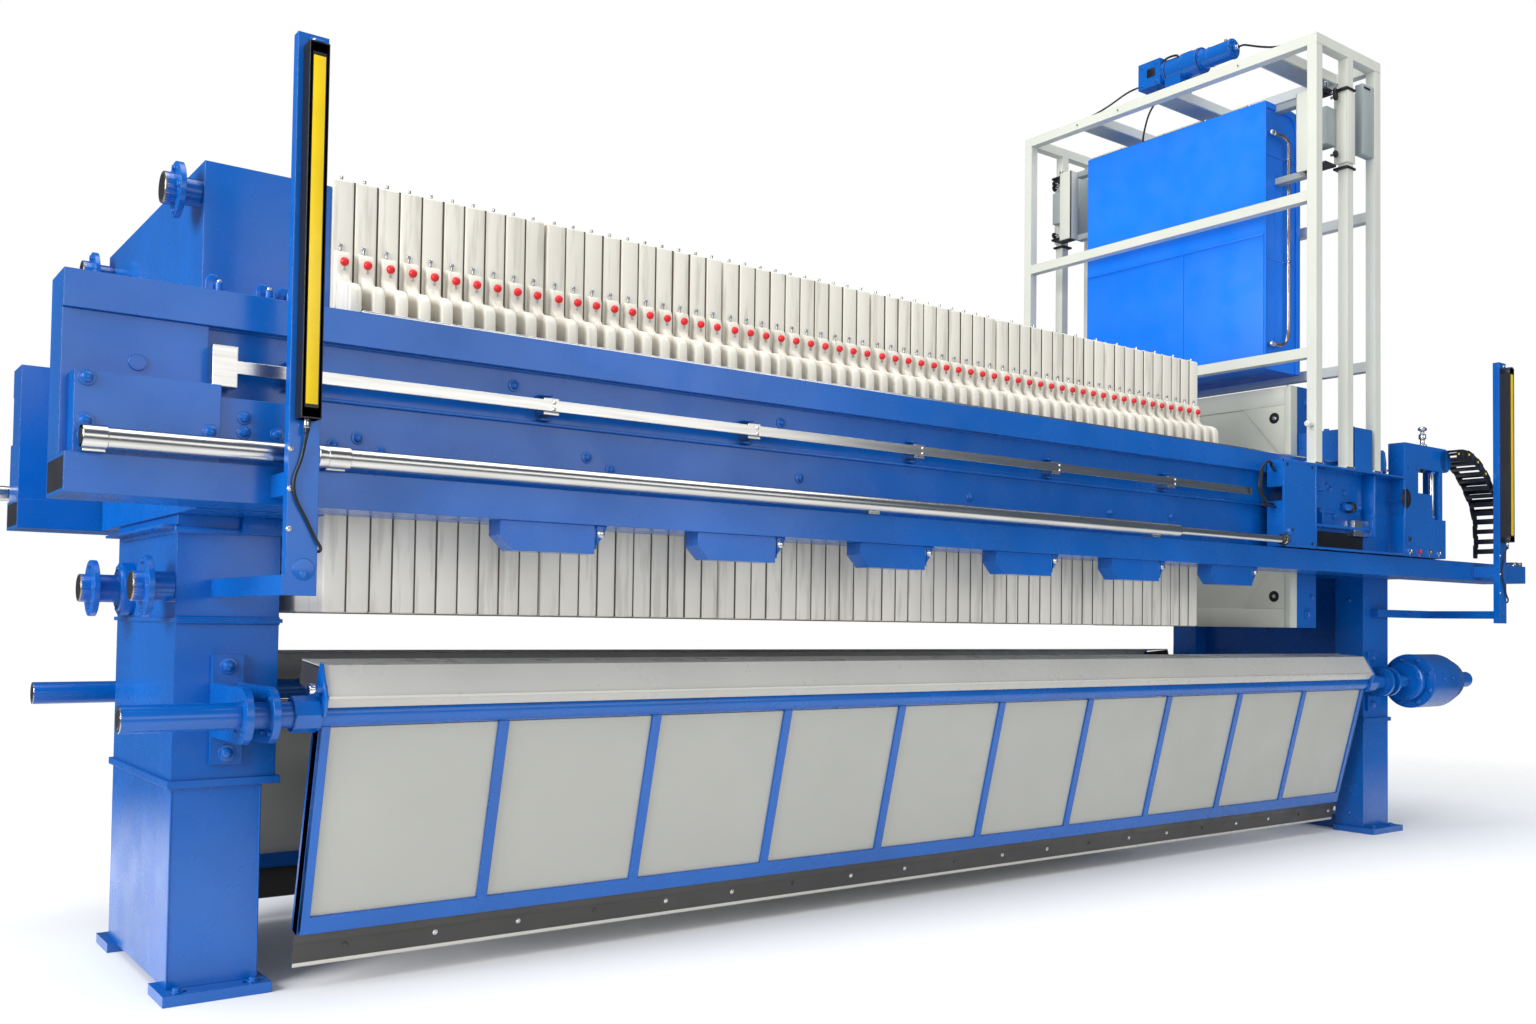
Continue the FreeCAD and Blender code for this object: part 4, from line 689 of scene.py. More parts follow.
def door_trims(side_name, side):
    """End ribs, folded lines, the lip's bolts and the rubber along a door's foot, drawn upright."""
    piece = Piece(f"{side_name}_door_trims", f"{side_name}_door", BLUE, HOOD, DARK, BRIGHT, BLACK)
    profile = [(20, -8), (58, 4), (66, 30), (66, 74), (-18, 169), (-30, 166), (-40, 130), (-40, -8)]
    for start, end in ((DOOR_START - 1 * MM, DOOR_START + 9 * MM), (DOOR_END - 9 * MM, DOOR_END + 1 * MM)):
        outline = [(side * y * MM, (z + 46) * MM if z < 0 else z * MM) for y, z in profile]
        piece.prism(outline, "x", start, end, 0, 1.5 * MM)
    outer = 23 * MM
    for start, end in ((DOOR_START, DOOR_START + 12 * MM), (DOOR_END - 12 * MM, DOOR_END)):
        piece.box((start, min(side * outer, -side * 40 * MM), -786 * MM), (end, max(side * outer, -side * 40 * MM), -30 * MM), 0, 1 * MM)
    face = side * 5.5 * MM
    count = 20
    for index in range(count):
        x = span(DOOR_START + 120 * MM, DOOR_END - 120 * MM, index / (count - 1))
        for drop, shift in ((-812, 0), (-850, 60)):
            place = Vector((x + shift * MM, face, drop * MM))
            piece.dome(place, (0, side, 0), 7 * MM, 3 if (index + shift) % 3 else 2)
    low, high = sorted((side * 5 * MM, side * 13 * MM))
    piece.box((DOOR_START, low, -822 * MM), (DOOR_END, high, -786 * MM), 2, 1 * MM)
    low, high = sorted((-side * 3 * MM, side * 8 * MM))
    piece.box((DOOR_START + 2 * MM, low, -911 * MM), (DOOR_END - 2 * MM, high, -897 * MM), 1, 1 * MM)
    seam = side * 54 * MM
    low, high = sorted((seam, seam + side * 8 * MM))
    piece.box((DOOR_START + 10 * MM, low, 66 * MM), (DOOR_END - 10 * MM, high, 78 * MM), 1, 3 * MM)
    for x in (DOOR_START - 26 * MM,):
        place = Vector((x, side * 20 * MM, 92 * MM))
        piece.rod(place, place + Vector((40 * MM, 0, 0)), 15 * MM, 0, 2 * MM, 12)
        piece.rod(place - Vector((22 * MM, 0, 0)), place, 20 * MM, 3, 4 * MM, 12)
    item = piece.done()
    return item


def door_body(side_name, side):
    """The trims of a door, hung at its rest angle."""
    item = door_trims(side_name, side)
    item.parent = None
    item.matrix_world = Matrix.Identity(4)
    hang(item, side)
    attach(item, f"{side_name}_door")


def bearing_trims():
    """Back-plate bolts, cheek bolts and grease nipples of the door bearings, and the shaft ends' bores."""
    piece = Piece("bearing_trims", "frame", BLUE, BRIGHT, SHADOW)
    for side in (-1, 1):
        for node, face in (("bearings_left", 484), ("bearings_right", 745)):
            low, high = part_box(node)
            middle = (low.x + high.x) / 2
            for up in (-150, 150):
                piece.dome((middle, side * face * MM, SHAFT_Z + up * MM), (0, side, 0), 20 * MM, 0)
            for x in (low.x, high.x - 24 * MM - 0.3 * MM):
                for turn in (55, 125, 235, 305):
                    angle = math.radians(turn)
                    spot = Vector((x, side * SHAFT_Y + side * 68 * MM * math.cos(angle), SHAFT_Z + 68 * MM * math.sin(angle)))
                    piece.rod(spot - Vector((4 * MM, 0, 0)), spot + Vector((28 * MM, 0, 0)), 8 * MM, 0, 1 * MM, 6)
            piece.rod((middle - 14 * MM, side * SHAFT_Y, SHAFT_Z + 44 * MM), (middle - 14 * MM, side * SHAFT_Y, SHAFT_Z + 60 * MM), 5 * MM, 1, 1 * MM, 8)
    piece.done()
    for side_name, side in (("front", -1), ("rear", 1)):
        ends = Piece(f"{side_name}_shaft_trims", f"{side_name}_door", BRIGHT, SHADOW, BLUE)
        low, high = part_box(f"{side_name}_door_shaft")
        centre = Vector((low.x, side * SHAFT_Y, SHAFT_Z))
        ends.lathe([(-1.5 * MM, 27 * MM), (-1.5 * MM, 43 * MM), (1 * MM, 44.8 * MM)], centre, (1, 0, 0), 0)
        ends.rod(centre - Vector((2 * MM, 0, 0)), centre, 28 * MM, 1)
        for x in (DOOR_START - 90 * MM, DOOR_END + 4 * MM):
            ends.lathe([(0, 58 * MM), (4 * MM, 62 * MM), (82 * MM, 62 * MM), (86 * MM, 58 * MM)],
                       (x, side * SHAFT_Y, SHAFT_Z), (1, 0, 0), 2, 8)
        ends.done()


def actuator_trims():
    """Face bolts, rim lobes, hose ports and the stub's end of the rotary actuators."""
    piece = Piece("actuator_trims", "frame", BLUE, BRIGHT, SHADOW)
    low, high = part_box("door_actuators")
    face = low.x + 93 * MM
    for side in (-1, 1):
        axis = Vector((0, side * SHAFT_Y, SHAFT_Z))
        for index in range(8):
            angle = math.radians(22.5 + 45 * index)
            out = Vector((0, math.cos(angle), math.sin(angle)))
            place = Vector((face, 0, 0)) + axis + out * 146 * MM
            piece.bolt(place, (-1, 0, 0), 12 * MM, 0)
            place = Vector((face + 330 * MM, 0, 0)) + axis + out * 150 * MM
            piece.rod(place + Vector((-20 * MM, 0, 0)), place + Vector((52 * MM, 0, 0)), 15 * MM, 0, 3 * MM, 12)
        piece.lathe([(0, 118 * MM), (4 * MM, 126 * MM), (26 * MM, 126 * MM), (30 * MM, 118 * MM)],
                    Vector((low.x + 24 * MM, 0, 0)) + axis, (1, 0, 0), 0, 40)
        piece.lathe([(-1 * MM, 171 * MM), (0, 176.5 * MM), (10 * MM, 176.5 * MM), (12 * MM, 175 * MM)],
                    Vector((face, 0, 0)) + axis, (1, 0, 0), 0, 48)
        for x in (face + 120 * MM, face + 230 * MM):
            spot = Vector((x, 0, 0)) + axis + Vector((0, side * 172 * MM, 20 * MM))
            piece.rod(spot, spot + Vector((0, side * 12 * MM, 0)), 16 * MM, 0, 3 * MM, 6)
        piece.rod(Vector((high.x - 1 * MM, 0, 0)) + axis, Vector((high.x - 0.2 * MM, 0, 0)) + axis, 30 * MM, 2)
    piece.done()


# ---- guard posts ----
def curtain_trims():
    """The light curtains' windows, caps, brackets and plugs."""
    piece = Piece("curtain_trims", "frame", YELLOW, BLACK, BLUE, BRIGHT)
    low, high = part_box("light_curtains")
    for x in (low.x, high.x - 60 * MM):
        middle = x + 30 * MM
        piece.box((middle - 19 * MM, low.y - 0.1 * MM, low.z + 42 * MM), (middle + 19 * MM, low.y + 6 * MM, high.z - 42 * MM), 0, 1 * MM)
        for edge in (-24, 24):
            piece.box((middle + (edge - 5) * MM, low.y, low.z + 4 * MM), (middle + (edge + 5) * MM, low.y + 8 * MM, high.z - 4 * MM), 1, 1.5 * MM)
        for level in (low.z, high.z - 36 * MM):
            piece.box((x - 1 * MM, low.y, level), (x + 61 * MM, high.y, level + 36 * MM), 1, 4 * MM)
        plug = Vector((middle - 4 * MM, high.y - 30 * MM, low.z))
        piece.rod(plug - Vector((0, 0, 26 * MM)), plug, 9 * MM, 3, 2 * MM, 12)
        piece.rod(plug - Vector((0, 0, 44 * MM)), plug - Vector((0, 0, 24 * MM)), 7 * MM, 1, 1 * MM, 12)
        piece.box((middle - 14 * MM, high.y - 62 * MM, high.z), (middle + 14 * MM, high.y, high.z + 6 * MM), 2, 1 * MM)
        piece.box((middle - 14 * MM, high.y - 8 * MM, high.z), (middle + 14 * MM, high.y, high.z + 30 * MM), 2, 1 * MM)
        piece.bolt((middle, high.y - 8 * MM, high.z + 18 * MM), (0, -1, 0), 7 * MM, 3)
        for level in (1560, 1680, 1800):
            piece.dome((x - 10 * MM, -1250 * MM, level * MM), (0, -1, 0), 6 * MM, 3)
        plate = Vector((middle + 6 * MM, -1250 * MM, 1440 * MM))
        piece.lathe([(0, 34 * MM), (1.5 * MM, 33 * MM), (2 * MM, 30 * MM)], plate, (0, -1, 0), 2, 28)
        piece.lathe([(0, 11 * MM), (5 * MM, 9 * MM)], plate - Vector((0, 0, 14 * MM)), (0, -1, 0), 2, 16)
    piece.done()


# ---- moving head and carriages ----
def moving_face_trims():
    """The raised frame round the pressing face, its corner cut-outs and its bolts."""
    piece = Piece("moving_face_trims", "head", FACE, BLACK, BRIGHT, BLUE)
    low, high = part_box("moving_face")
    x = low.x
    wall = 10 * MM
    rim = 115 * MM
    for side in (-1, 1):
        y0, y1 = sorted((side * 749 * MM, side * (749 * MM - 40 * MM)))
        piece.box((x - wall, y0, low.z + 1 * MM), (x + 2 * MM, y1, high.z - 1 * MM), 0, 3 * MM)
        for up in (-1, 1):
            z_edge = low.z if up < 0 else high.z
            corner = [(side * 709 * MM, z_edge - up * rim), (side * 709 * MM, z_edge - up * 430 * MM),
                      (side * 660 * MM, z_edge - up * 400 * MM), (side * 470 * MM, z_edge - up * 170 * MM),
                      (side * 420 * MM, z_edge - up * rim)]
            piece.prism(corner, "x", x - wall, x + 2 * MM, 0, 3 * MM)
            spot = Vector((x - wall, side * 640 * MM, z_edge - up * 190 * MM))
            piece.lathe([(0, 34 * MM), (1 * MM, 33 * MM), (2 * MM, 24 * MM)], spot, (-1, 0, 0), 1, 24)
            piece.rod(spot, spot - Vector((3 * MM, 0, 0)), 12 * MM, 2, 0, 6)
    for z0, z1 in ((low.z + 1 * MM, low.z + rim), (high.z - rim, high.z - 1 * MM)):
        piece.box((x - wall, -709 * MM, z0), (x + 2 * MM, 709 * MM, z1), 0, 3 * MM)
    for side in (-1, 1):
        for up in (1400, 2050, 2700):
            piece.dome((-850 * MM, side * 750 * MM, up * MM), (0, side, 0), 22 * MM, 3)
    piece.done()


def carriage_trims(side_name, side):
    """What the open bay holds: shelves, a slide block, bolts and the drive's fittings."""
    piece = Piece(f"carriage_trims_{side_name}", "head", BLUE, BRIGHT, BLACK, SHADOW, WHITE)
    outer = side * 1111 * MM
    inner = side * 1018 * MM

    def block(x0, x1, y0, y1, z0, z1, finish=0, bevel=2):
        ys = sorted((side * y0 * MM, side * y1 * MM))
        piece.box((x0 * MM, ys[0], z0 * MM), (x1 * MM, ys[1], z1 * MM), finish, bevel * MM)
    for x in (-1365, -368):
        block(x - 1, x + 13, 1098, 1113, 1766, 2251)
    block(-1684, -368, 1100, 1113, 2240, 2253)
    block(-1684, -368, 1100, 1113, 1765, 1778)
    block(-1353, -1180, 1018, 1060, 2108, 2239)
    block(-1353, -1230, 1018, 1090, 2106, 2116)
    block(-1240, -1228, 1018, 1080, 1916, 2010)
    block(-1353, -1000, 1018, 1026, 1990, 2008)
    block(-1353, -700, 1018, 1075, 1900, 1916)
    block(-860, -700, 1018, 1060, 1865, 1960, 1)
    block(-700, -684, 1018, 1098, 1862, 2239)
    block(-1353, -700, 1018, 1024, 1778, 1880, 3, 0)
    piece.rod((-940 * MM, side * 1038 * MM, 2035 * MM), (-780 * MM, side * 1038 * MM, 2035 * MM), 22 * MM, 0, 3 * MM)
    piece.rod((-880 * MM, side * 1038 * MM, 2035 * MM), (-850 * MM, side * 1038 * MM, 2035 * MM), 34 * MM, 2, 3 * MM)
    for x, z in ((-1100, 2150), (-1060, 2132), (-1010, 1975), (-900, 2120)):
        piece.dome((x * MM, inner, z * MM), (0, side, 0), 16 * MM, 0)
    for x, z in ((-1650, 2225), (-1400, 2225), (-1600, 1860), (-1400, 1790)):
        piece.rod((x * MM, outer, z * MM), (x * MM, outer + side * 1.5 * MM, z * MM), 9 * MM, 3, 0, 16)
    piece.dome((-1640 * MM, outer, 1850 * MM), (0, side, 0), 18 * MM, 0)
    for x in (-1310, -1000, -700):
        piece.dome((x * MM, side * 1085 * MM, 2252 * MM), (0, 0, 1), 12 * MM, 1)
    lug = [(-560, 2252), (-470, 2252), (-462, 2330), (-480, 2400), (-505, 2412), (-535, 2390), (-556, 2320)]
    ys = sorted((side * 1030 * MM, side * 1048 * MM))
    piece.prism([(a * MM, b * MM) for a, b in lug], "y", ys[0], ys[1], 0, 4 * MM)
    piece.rod((-490 * MM, side * 1060 * MM, 2252 * MM), (-490 * MM, side * 1060 * MM, 2284 * MM), 14 * MM, 1, 3 * MM, 6)
    for x in (-1327, -993, -683):
        ys = sorted((side * 1046 * MM, side * 1111 * MM))
        piece.box(((x - 48) * MM, ys[0], 2252 * MM), ((x + 48) * MM, ys[1], 2264 * MM), 4, 2 * MM)
    piece.done()


def drive_trims(side):
    """The valve, knuckle, guide rod, clamps and lower clamps of a drive block."""
    piece = Piece(f"drive_trims_{'front' if side < 0 else 'rear'}", "head", BLUE, BRIGHT, BLACK, RED, BRONZE)
    outer = side * 1111 * MM
    middle = side * 1060 * MM
    stem = Vector((-50 * MM, middle, 2467 * MM))
    for start, end, wide in ((0, 18, 26), (18, 52, 14), (52, 84, 22), (84, 100, 12)):
        piece.rod(stem + Vector((0, 0, start * MM)), stem + Vector((0, 0, end * MM)), wide * MM, 1, 3 * MM, 16)
    piece.ball(stem + Vector((0, 0, 116 * MM)), 26 * MM, 1, (1.3, 1, 0.6))
    ys = sorted((side * 1010 * MM, outer))
    piece.rod((144 * MM, ys[0], 2392 * MM), (144 * MM, ys[1], 2392 * MM), 75 * MM, 0, 4 * MM, 32)
    piece.rod((0, side * 1090 * MM, 2010 * MM), (0, side * 1090 * MM, 2317 * MM), 17 * MM, 1, 2 * MM)
    for z in (2016, 2300):
        piece.rod((0, side * 1090 * MM, z * MM), (0, side * 1090 * MM, (z + 14) * MM), 26 * MM, 0, 2 * MM, 6)
    for x in (-330, -230, -120):
        piece.rod((x * MM, side * 1098 * MM, 2300 * MM), (x * MM, side * 1098 * MM, 2318 * MM), 15 * MM, 2, 2 * MM, 6)
    piece.lathe([(0, 40 * MM), (4 * MM, 40 * MM), (5 * MM, 30 * MM), (2 * MM, 26 * MM), (2 * MM, 10 * MM)],
                (-310 * MM, outer, 1870 * MM), (0, side, 0), 0, 28)
    piece.ball((-310 * MM, outer + side * 4 * MM, 1870 * MM), 14 * MM, 2, (1, 0.6, 1))
    piece.lathe([(0, 62 * MM), (1 * MM, 60 * MM)], (-352 * MM, outer, 2120 * MM), (0, side, 0), 2, 28)
    for x, finish in ((-300, 1), (-190, 3), (-60, 4), (60, 1)):
        piece.rod((x * MM, side * 1100 * MM, 1765 * MM), (x * MM, side * 1100 * MM, 1795 * MM), 13 * MM, finish, 2 * MM, 12)
        piece.rod((x * MM, side * 1113 * MM, 1800 * MM), (x * MM, side * 1125 * MM, 1800 * MM), 12 * MM, finish, 2 * MM, 6)
    piece.done()


def rail_strip():
    """The ground running strip on the rails' far ends."""
    piece = Piece("running_strips", "frame", BRIGHT, BLUE)
    for side in (-1, 1):
        for y in (1012, 1056):
            piece.rod((-320 * MM, side * y * MM, 1752 * MM), (1250 * MM, side * y * MM, 1752 * MM), 11 * MM, 0, 0, 12)
        for x in (1180, 1255):
            ys = sorted((side * 985 * MM, side * 1080 * MM))
            piece.box((x * MM, ys[0], 1759 * MM), ((x + 30) * MM, ys[1], 1786 * MM), 0, 2 * MM)
    piece.done()


# ---- cable chain ----
CHAIN_DOTS = ((150, 2432), (218, 2440), (300, 2436), (380, 2412), (461, 2370), (540, 2312), (617, 2238), (690, 2156),
              (735, 2068), (752, 1970), (755, 1870), (755, 1800))


def cable_chain():
    """Plastic links with side plates, cross bars and yellow hinge pins; they stand for the plain band."""
    piece = Piece("chain_links", "head", BLACK, YELLOW)
    path = smooth_line([(x * MM, 0, z * MM) for x, z in CHAIN_DOTS], 6)
    near, far = -1191 * MM, -1007 * MM
    pitch = 58 * MM
    spots = [path[0]]
    for point in path:
        if (point - spots[-1]).length >= pitch:
            spots.append(point)
    for index, (here, after) in enumerate(zip(spots, spots[1:])):
        ahead = (after - here).normalized()
        up = Vector((-ahead.z, 0, ahead.x))
        shift = (index % 2) * 5 * MM

        def corner(along, rise):
            place = here + ahead * along * MM + up * rise * MM
            return (place.x, place.z)
        plate = [corner(-16, -18), (corner(-8, -27)), corner(66, -27), corner(74, -18), corner(74, 18), corner(66, 27),
                 corner(-8, 27), corner(-16, 18)]
        piece.prism(plate, "y", near + shift, near + shift + 7 * MM, 0, 1 * MM)
        piece.prism(plate, "y", far - shift - 7 * MM, far - shift, 0, 1 * MM)
        for rise in (-24, 24):
            bar = [corner(14, rise - 4), corner(44, rise - 4), corner(44, rise + 4), corner(14, rise + 4)]
            piece.prism(bar, "y", near + 6 * MM, far - 6 * MM, 0, 1 * MM)
        for edge, out in ((near + shift, -1), (far - shift, 1)):
            pin = Vector((here.x, edge, here.z))
            piece.rod(pin, pin + Vector((0, out * 3 * MM, 0)), 8 * MM, 1, 1 * MM, 14)
    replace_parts(piece.done(), "cable_chain")


# ---- wash gantry ----
def gantry_trims():
    """Mitre seams, tube joints, a pipe stub and the bolts of the tube frame."""
    piece = Piece("gantry_trims", "head", WHITE, SHADOW, BRIGHT, GREY)
    low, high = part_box("gantry_posts")
    seam = 0.8 * MM
    for side in (-1, 1):
        face = side * 1111 * MM
        for x in (low.x, high.x - 60 * MM):
            y0, y1 = sorted((face, face + side * 0.4 * MM))
            piece.box((x, y0, high.z - seam), (x + 60 * MM, y1, high.z), 1)
        for x in (low.x, low.x + 334 * MM, high.x - 60 * MM):
            piece.box((x - 12 * MM, min(face, side * 1039 * MM), low.z), (x + 72 * MM, max(face, side * 1039 * MM), low.z + 12 * MM), 0, 2 * MM)
            for shift in (-6, 66):
                piece.bolt((x + shift * MM, side * 1045 * MM, low.z + 12 * MM), (0, 0, 1), 6 * MM, 2, False)
    for y in (-47, 560, -786):
        piece.box((low.x + 60 * MM, (y - 62) * MM, 4690 * MM), (high.x - 60 * MM, (y + 62) * MM, 4694 * MM), 3)
    for y in (-600, 300, 640):
        spot = Vector((low.x, y * MM, 4723 * MM))
        piece.rod(spot, spot + Vector((-5 * MM, 0, 0)), 7 * MM, 2, 1 * MM, 12)
    stub = Vector((-1357 * MM, -1085 * MM, 2480 * MM))
    piece.rod(stub - Vector((46 * MM, 0, 0)), stub, 12 * MM, 0, 3 * MM, 16)
    piece.rod(stub - Vector((58 * MM, 0, 0)), stub - Vector((36 * MM, 0, 0)), 17 * MM, 0, 3 * MM, 16)
    piece.done()


def guides():
    """The cabinet's guides on the middle posts: plates, a sleeve, clamps and a cover; they stand for the plain boxes."""
    piece = Piece("cabinet_guides", "head", WHITE, GREY, BLACK, BRIGHT)
    for side in (-1, 1):
        def block(x, y, z, finish, bevel=2):
            ys = sorted((side * y[0] * MM, side * y[1] * MM))
            piece.box((x[0] * MM, ys[0], z[0] * MM), (x[1] * MM, ys[1], z[1] * MM), finish, bevel * MM)
        block((-1163, -1151), (862, 960), (4036, 4515), 0, 3)
        block((-1163, -1083), (862, 874), (4036, 4515), 0, 3)
        block((-1140, -1034), (960, 1046), (4172, 4396), 1, 4)
        block((-1151, -1034), (874, 1046), (4490, 4506), 2, 3)
        block((-1151, -1034), (874, 1046), (4050, 4066), 2, 3)
        block((-1034, -1023.3), (1030, 1110), (4066, 4490), 0, 3)
        block((-1034, -952), (1111.3, 1118), (4066, 4490), 0, 2)
        for level in (4030, 4502):
            block((-1046, -944), (1030, 1119), (level, level + 14), 2, 3)
        block((-1083, -1023), (672.3, 874), (4030, 4070), 1, 3)
        block((-1083, -1023), (672.3, 874), (4480, 4520), 1, 3)
        block((-840, -716), (1052, 1104), (4160, 4590), 1, 5)
        block((-830, -760), (1103, 1106), (4560, 4572), 2, 0)
        for z in (4110, 4452, 4484):
            knob = Vector((-1088 * MM, side * 1062 * MM, z * MM))
            piece.rod(knob - Vector((0, side * 20 * MM, 0)), knob, 8 * MM, 3, 1 * MM, 12)
            piece.lathe([(0, 12 * MM), (4 * MM, 22 * MM), (14 * MM, 24 * MM), (20 * MM, 16 * MM)], knob, (0, side, 0), 2, 7)
        piece.rod((-1088 * MM, side * 1010 * MM, 4490 * MM), (-1088 * MM, side * 1010 * MM, 4560 * MM), 13 * MM, 3, 2 * MM, 14)
    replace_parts(piece.done(), "guide_boxes")


# ---- wash cabinet ----
def cabinet_trims():
    """Folded edges, seams and the recessed tray on the cabinet's sides."""
    piece = Piece("cabinet_trims", "head", CABINET, SHADOW, DARK, BRIGHT)
    low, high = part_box("wash_cabinet")
    x = low.x
    fold = 3700 * MM
    piece.box((x - 5 * MM, low.y + 1 * MM, low.z + 52 * MM), (x, high.y - 1 * MM, fold), 0, 1.5 * MM)
    piece.box((x - 12 * MM, low.y + 1 * MM, fold - 4 * MM), (x, high.y - 1 * MM, fold + 10 * MM), 0, 3 * MM)
    piece.box((x - 6 * MM, low.y + 1 * MM, low.z), (x, high.y - 1 * MM, low.z + 38 * MM), 0, 2 * MM)
    piece.box((x - 1 * MM, low.y + 1 * MM, low.z + 38 * MM), (x, high.y - 1 * MM, low.z + 52 * MM), 1)
    seam_y = -104 * MM
    piece.box((x - 5.4 * MM, seam_y, low.z + 56 * MM), (x - 4.9 * MM, seam_y + 2.5 * MM, fold - 10 * MM), 1)
    for side in (-1, 1):
        wall = side * 672 * MM
        ys = sorted((wall, wall + side * 10 * MM))
        piece.box((x, ys[0], low.z), (x + 8 * MM, ys[1], high.z), 0, 1.5 * MM)
        column = [(-858 * MM, low.z), (-817 * MM, low.z), (-817 * MM, high.z - 90 * MM)]
        for step in range(7):
            angle = math.radians(90 * step / 6)
            column.append((-817 * MM - 90 * MM * (1 - math.cos(angle)), high.z - 90 * MM + 90 * MM * math.sin(angle)))
        column += [(x + 8 * MM, high.z), (x + 8 * MM, high.z - 36 * MM), (-930 * MM, high.z - 40 * MM), (-880 * MM, high.z - 62 * MM),
                   (-858 * MM, high.z - 110 * MM)]
        piece.prism(column, "y", ys[0], ys[1], 0, 2 * MM)
        for level in (3560 * MM, 4200 * MM):
            ys2 = sorted((wall, wall + side * 3 * MM))
            piece.box((x + 10 * MM, ys2[0], level), (-860 * MM, ys2[1], level + 8 * MM), 0, 1 * MM)
        piece.box((x + 110 * MM, min(wall, wall + side * 2 * MM), low.z + 60 * MM), (x + 118 * MM, max(wall, wall + side * 2 * MM), 4200 * MM), 0, 1 * MM)
    for y in (-560, -250, 60, 400):
        spot = Vector((x + 10 * MM, y * MM, high.z))
        piece.rod(spot, spot + Vector((0, 0, 9 * MM)), 9 * MM, 3, 1 * MM, 10)
    piece.box((x + 2 * MM, low.y + 2 * MM, high.z), (x + 26 * MM, high.y - 2 * MM, high.z + 4 * MM), 3, 1 * MM)
    piece.done()


def cabinet_hoses():
    """Three thin hoses bundled down the cabinet's side with their couplings; they stand for the plain hose."""
    piece = Piece("cabinet_hose_bundle", "head", BLACK, COPPER, BRIGHT)
    low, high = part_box("cabinet_hose")
    lead, run = -1151 * MM, -971 * MM
    y = -696 * MM
    for shift, finish in (((-5, 0), 2), ((3, -5), 1), ((3, 5), 0)):
        dx, dy = shift[0] * MM, shift[1] * MM
        route = [(lead, y + dy, high.z - 11 * MM + dx), (lead + 60 * MM, y + dy, high.z - 11 * MM + dx),
                 (run - 60 * MM, y + dy, high.z - 12 * MM + dx), (run - 12 * MM, y + dy, high.z - 32 * MM + dx),
                 (run + dx, y + dy, high.z - 96 * MM), (run + dx, y + dy, 3900 * MM), (run + dx, y + dy, 3400 * MM),
                 (run + dx, y + dy, 3170 * MM), (run - 14 * MM + dx, y + dy, 3090 * MM), (run - 60 * MM, y + dy, 3045 * MM + dx),
                 (lead + 40 * MM, y + dy, low.z + 11 * MM + dx), (lead, y + dy, low.z + 11 * MM + dx)]
        piece.tube(route, 5.6 * MM, finish, 10, 6)
    for level in (high.z - 11 * MM, low.z + 11 * MM):
        spot = Vector((lead, -672 * MM, level))
        piece.rod(spot, spot - Vector((0, 34 * MM, 0)), 13 * MM, 2, 2 * MM, 6)
        piece.rod(spot + Vector((20 * MM, -24 * MM, 0)), spot + Vector((52 * MM, -24 * MM, 0)), 15 * MM, 2, 3 * MM, 6)
        piece.ball(spot - Vector((0, 24 * MM, 0)), 17 * MM, 2)
    for level in (4200 * MM, 3560 * MM):
        piece.box((run - 16 * MM, -708 * MM, level), (run + 16 * MM, -672 * MM, level + 16 * MM), 2, 3 * MM)
    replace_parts(piece.done(), "cabinet_hose")


def hoist_trims():
    """Rings, bolts, a brass vent and the handle of the hoist's motor and gear case."""
    piece = Piece("hoist_trims", "head", BLUE, BLACK, BRONZE, BRIGHT, WHITE)
    axis = Vector((-1190 * MM, 0, 4923 * MM))
    for y, radius, wide in ((-455, 64, 10), (-300, 63, 8), (-245, 66, 10), (-225, 83, 9), (-120, 82.5, 5), (10, 83, 10)):
        piece.rod(axis + Vector((0, y * MM, 0)), axis + Vector((0, (y + wide) * MM, 0)), radius * MM, 0, 2 * MM, 36)
    # Painted shade: thin black bands stand in for the shade in the grooves between the motor's segments.
    for y, radius in ((-238, 81), (2, 81.5)):
        piece.rod(axis + Vector((0, y * MM, 0)), axis + Vector((0, (y + 5) * MM, 0)), radius * MM, 1, 0, 36)
    piece.rod(axis + Vector((0, -459 * MM, 0)), axis + Vector((0, -476 * MM, 0)), 24 * MM, 0, 4 * MM, 6)
    piece.rod(axis + Vector((0, -470 * MM, 0)), axis + Vector((0, -492 * MM, 0)), 15 * MM, 3, 3 * MM, 12)
    for step in range(6):
        angle = math.radians(60 * step)
        spot = axis + Vector((45 * MM * math.cos(angle), -459 * MM, 45 * MM * math.sin(angle)))
        piece.bolt(spot, (0, -1, 0), 7 * MM, 0, False)
    knob = axis + Vector((0, -400 * MM, 58 * MM))
    piece.rod(knob, knob + Vector((0, 0, 12 * MM)), 10 * MM, 2, 1 * MM, 12)
    piece.ball(knob + Vector((0, 0, 15 * MM)), 10 * MM, 2)
    for y in (60, 170):
        for up in (-60, 60):
            piece.bolt(axis + Vector((-85 * MM, y * MM, up * MM)), (-1, 0, 0), 8 * MM, 0)
    handle = [axis + Vector((-60 * MM, y * MM, z * MM)) for y, z in ((-90, 50), (-84, 66), (-50, 74), (-10, 74), (20, 64), (26, 50))]
    piece.tube(handle, 7 * MM, 1, 10, 5)
    piece.box(axis + Vector((-90 * MM, 70 * MM, -20 * MM)), axis + Vector((-85 * MM, 130 * MM, 34 * MM)), 1, 1 * MM)
    piece.box(axis + Vector((-52 * MM, -190 * MM, 52 * MM)), axis + Vector((-20 * MM, -100 * MM, 70 * MM)), 0, 4 * MM)
    piece.done()


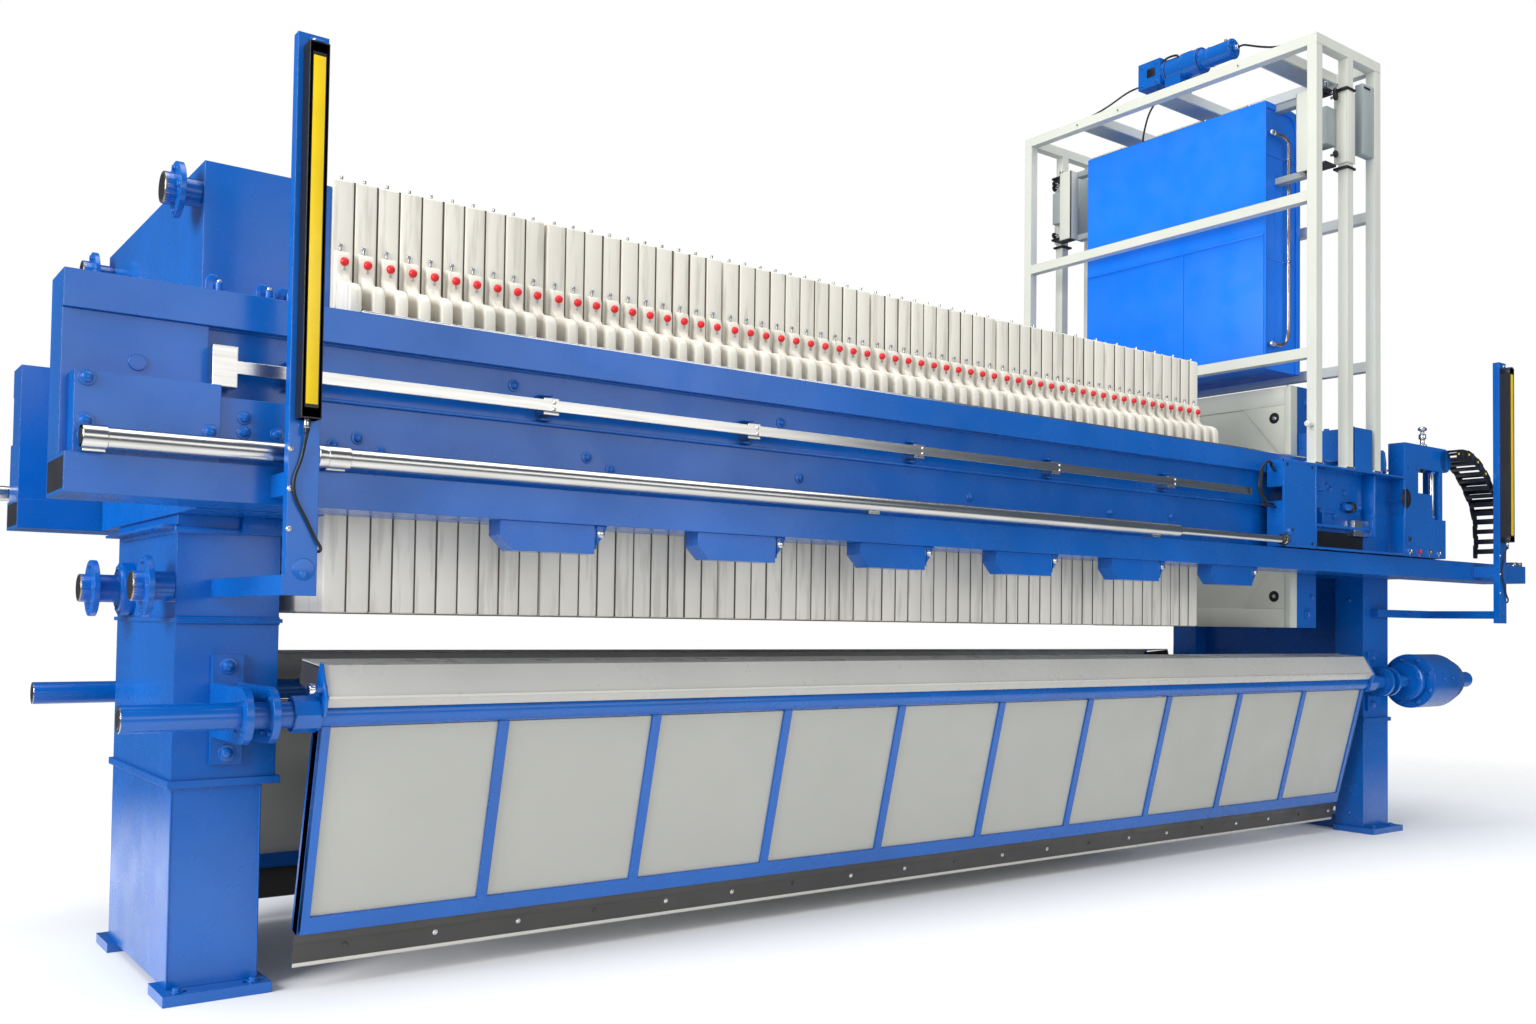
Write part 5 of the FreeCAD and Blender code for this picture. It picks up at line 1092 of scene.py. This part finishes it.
# ---- moving head and crosshead ----
def head_trims():
    """Bolts and lugs on the moving head's box, its arms and the crosshead."""
    piece = Piece("head_trims", "head", BLUE, BRIGHT, BLACK)
    for side in (-1, 1):
        face = side * 750 * MM
        for z in (1500, 1850, 2600, 2740):
            piece.dome((-800 * MM, face, z * MM), (0, side, 0), 16 * MM)
        for x in (-890, -800):
            piece.bolt((x * MM, side * 900 * MM, 2502 * MM), (0, 0, 1), 18 * MM, 0)
            piece.rod((x * MM, side * 1020 * MM, 2502 * MM), (x * MM, side * 1020 * MM, 2530 * MM), 9 * MM, 1, 2 * MM, 12)
        spot = Vector((-962 * MM, side * 690 * MM, 2764 * MM))
        piece.rod(spot, spot + Vector((0, 0, 40 * MM)), 12 * MM, 2, 2 * MM, 12)
    piece.done()
    fixed = Piece("crosshead_trims", "frame", BLUE, BRIGHT)
    for side in (-1, 1):
        for z in (1700, 1960, 2180):
            fixed.bolt((-290 * MM, side * 700 * MM, z * MM), (-1, 0, 0), 18 * MM, 0)
        for x in (-200, 90):
            fixed.bolt((x * MM, side * 640 * MM, 2242 * MM), (0, 0, 1), 18 * MM, 0)
    for step in range(12):
        angle = math.radians(30 * step)
        fixed.bolt((-300 * MM, 135 * MM * math.cos(angle), 2000 * MM + 135 * MM * math.sin(angle)), (-1, 0, 0), 12 * MM, 0)
        fixed.bolt((900 * MM, 135 * MM * math.cos(angle), 2000 * MM + 135 * MM * math.sin(angle)), (1, 0, 0), 12 * MM, 0)
    for side in (-1, 1):
        for x in (-154, 154):
            out = 1 if x > 0 else -1
            for z in (120, 560, 900, 1500):
                fixed.dome((x * MM, side * 630 * MM, z * MM), (out, 0, 0), 12 * MM)
        for x in (-180, 180):
            fixed.bolt((x * 0.6 * MM, side * 768 * MM, 37 * MM), (0, 0, 1), 15 * MM, 0)
    fixed.done()


def plate_gaps():
    """Painted shade: a dark sheet in the line between neighbouring plates, seen from the front, the rear, above and
    below.
    """
    piece = Piece("plate_gap_lines", "frame", GAP_SHADE)
    for number in range(1, 7):
        low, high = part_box(f"plates_{number}")
        count = 10
        gap = 1 * MM
        thick = ((high.x - low.x) - (count - 1) * gap) / count
        for index in range(1, count):
            x = low.x + index * (thick + gap) - gap
            piece.box((x - 3 * MM, -748 * MM, low.z + 3 * MM), (x + gap + 3 * MM, 748 * MM, 2806 * MM), 0)
    piece.done()


SIDES = (("front", -1), ("rear", 1))
make_camera()
make_studio()
make_floor()
paint_nodes()
for number in range(1, 7):
    plate_group(number)
for side_name, side in SIDES:
    beam_trims(side_name, side)
    guide_bar_trims(side)
    door_body(side_name, side)
    carriage_trims(side_name, side)
    drive_trims(side)
plate_gaps()
rail_ends()
rod_trims()
rod_heads()
bracket_trims()
stand_trims()
port_trims()
beam_lugs()
bearing_trims()
actuator_trims()
curtain_trims()
moving_face_trims()
rail_strip()
cable_chain()
gantry_trims()
guides()
cabinet_trims()
cabinet_hoses()
hoist_trims()
head_trims()
bpy.context.scene.view_settings.view_transform = "Standard"
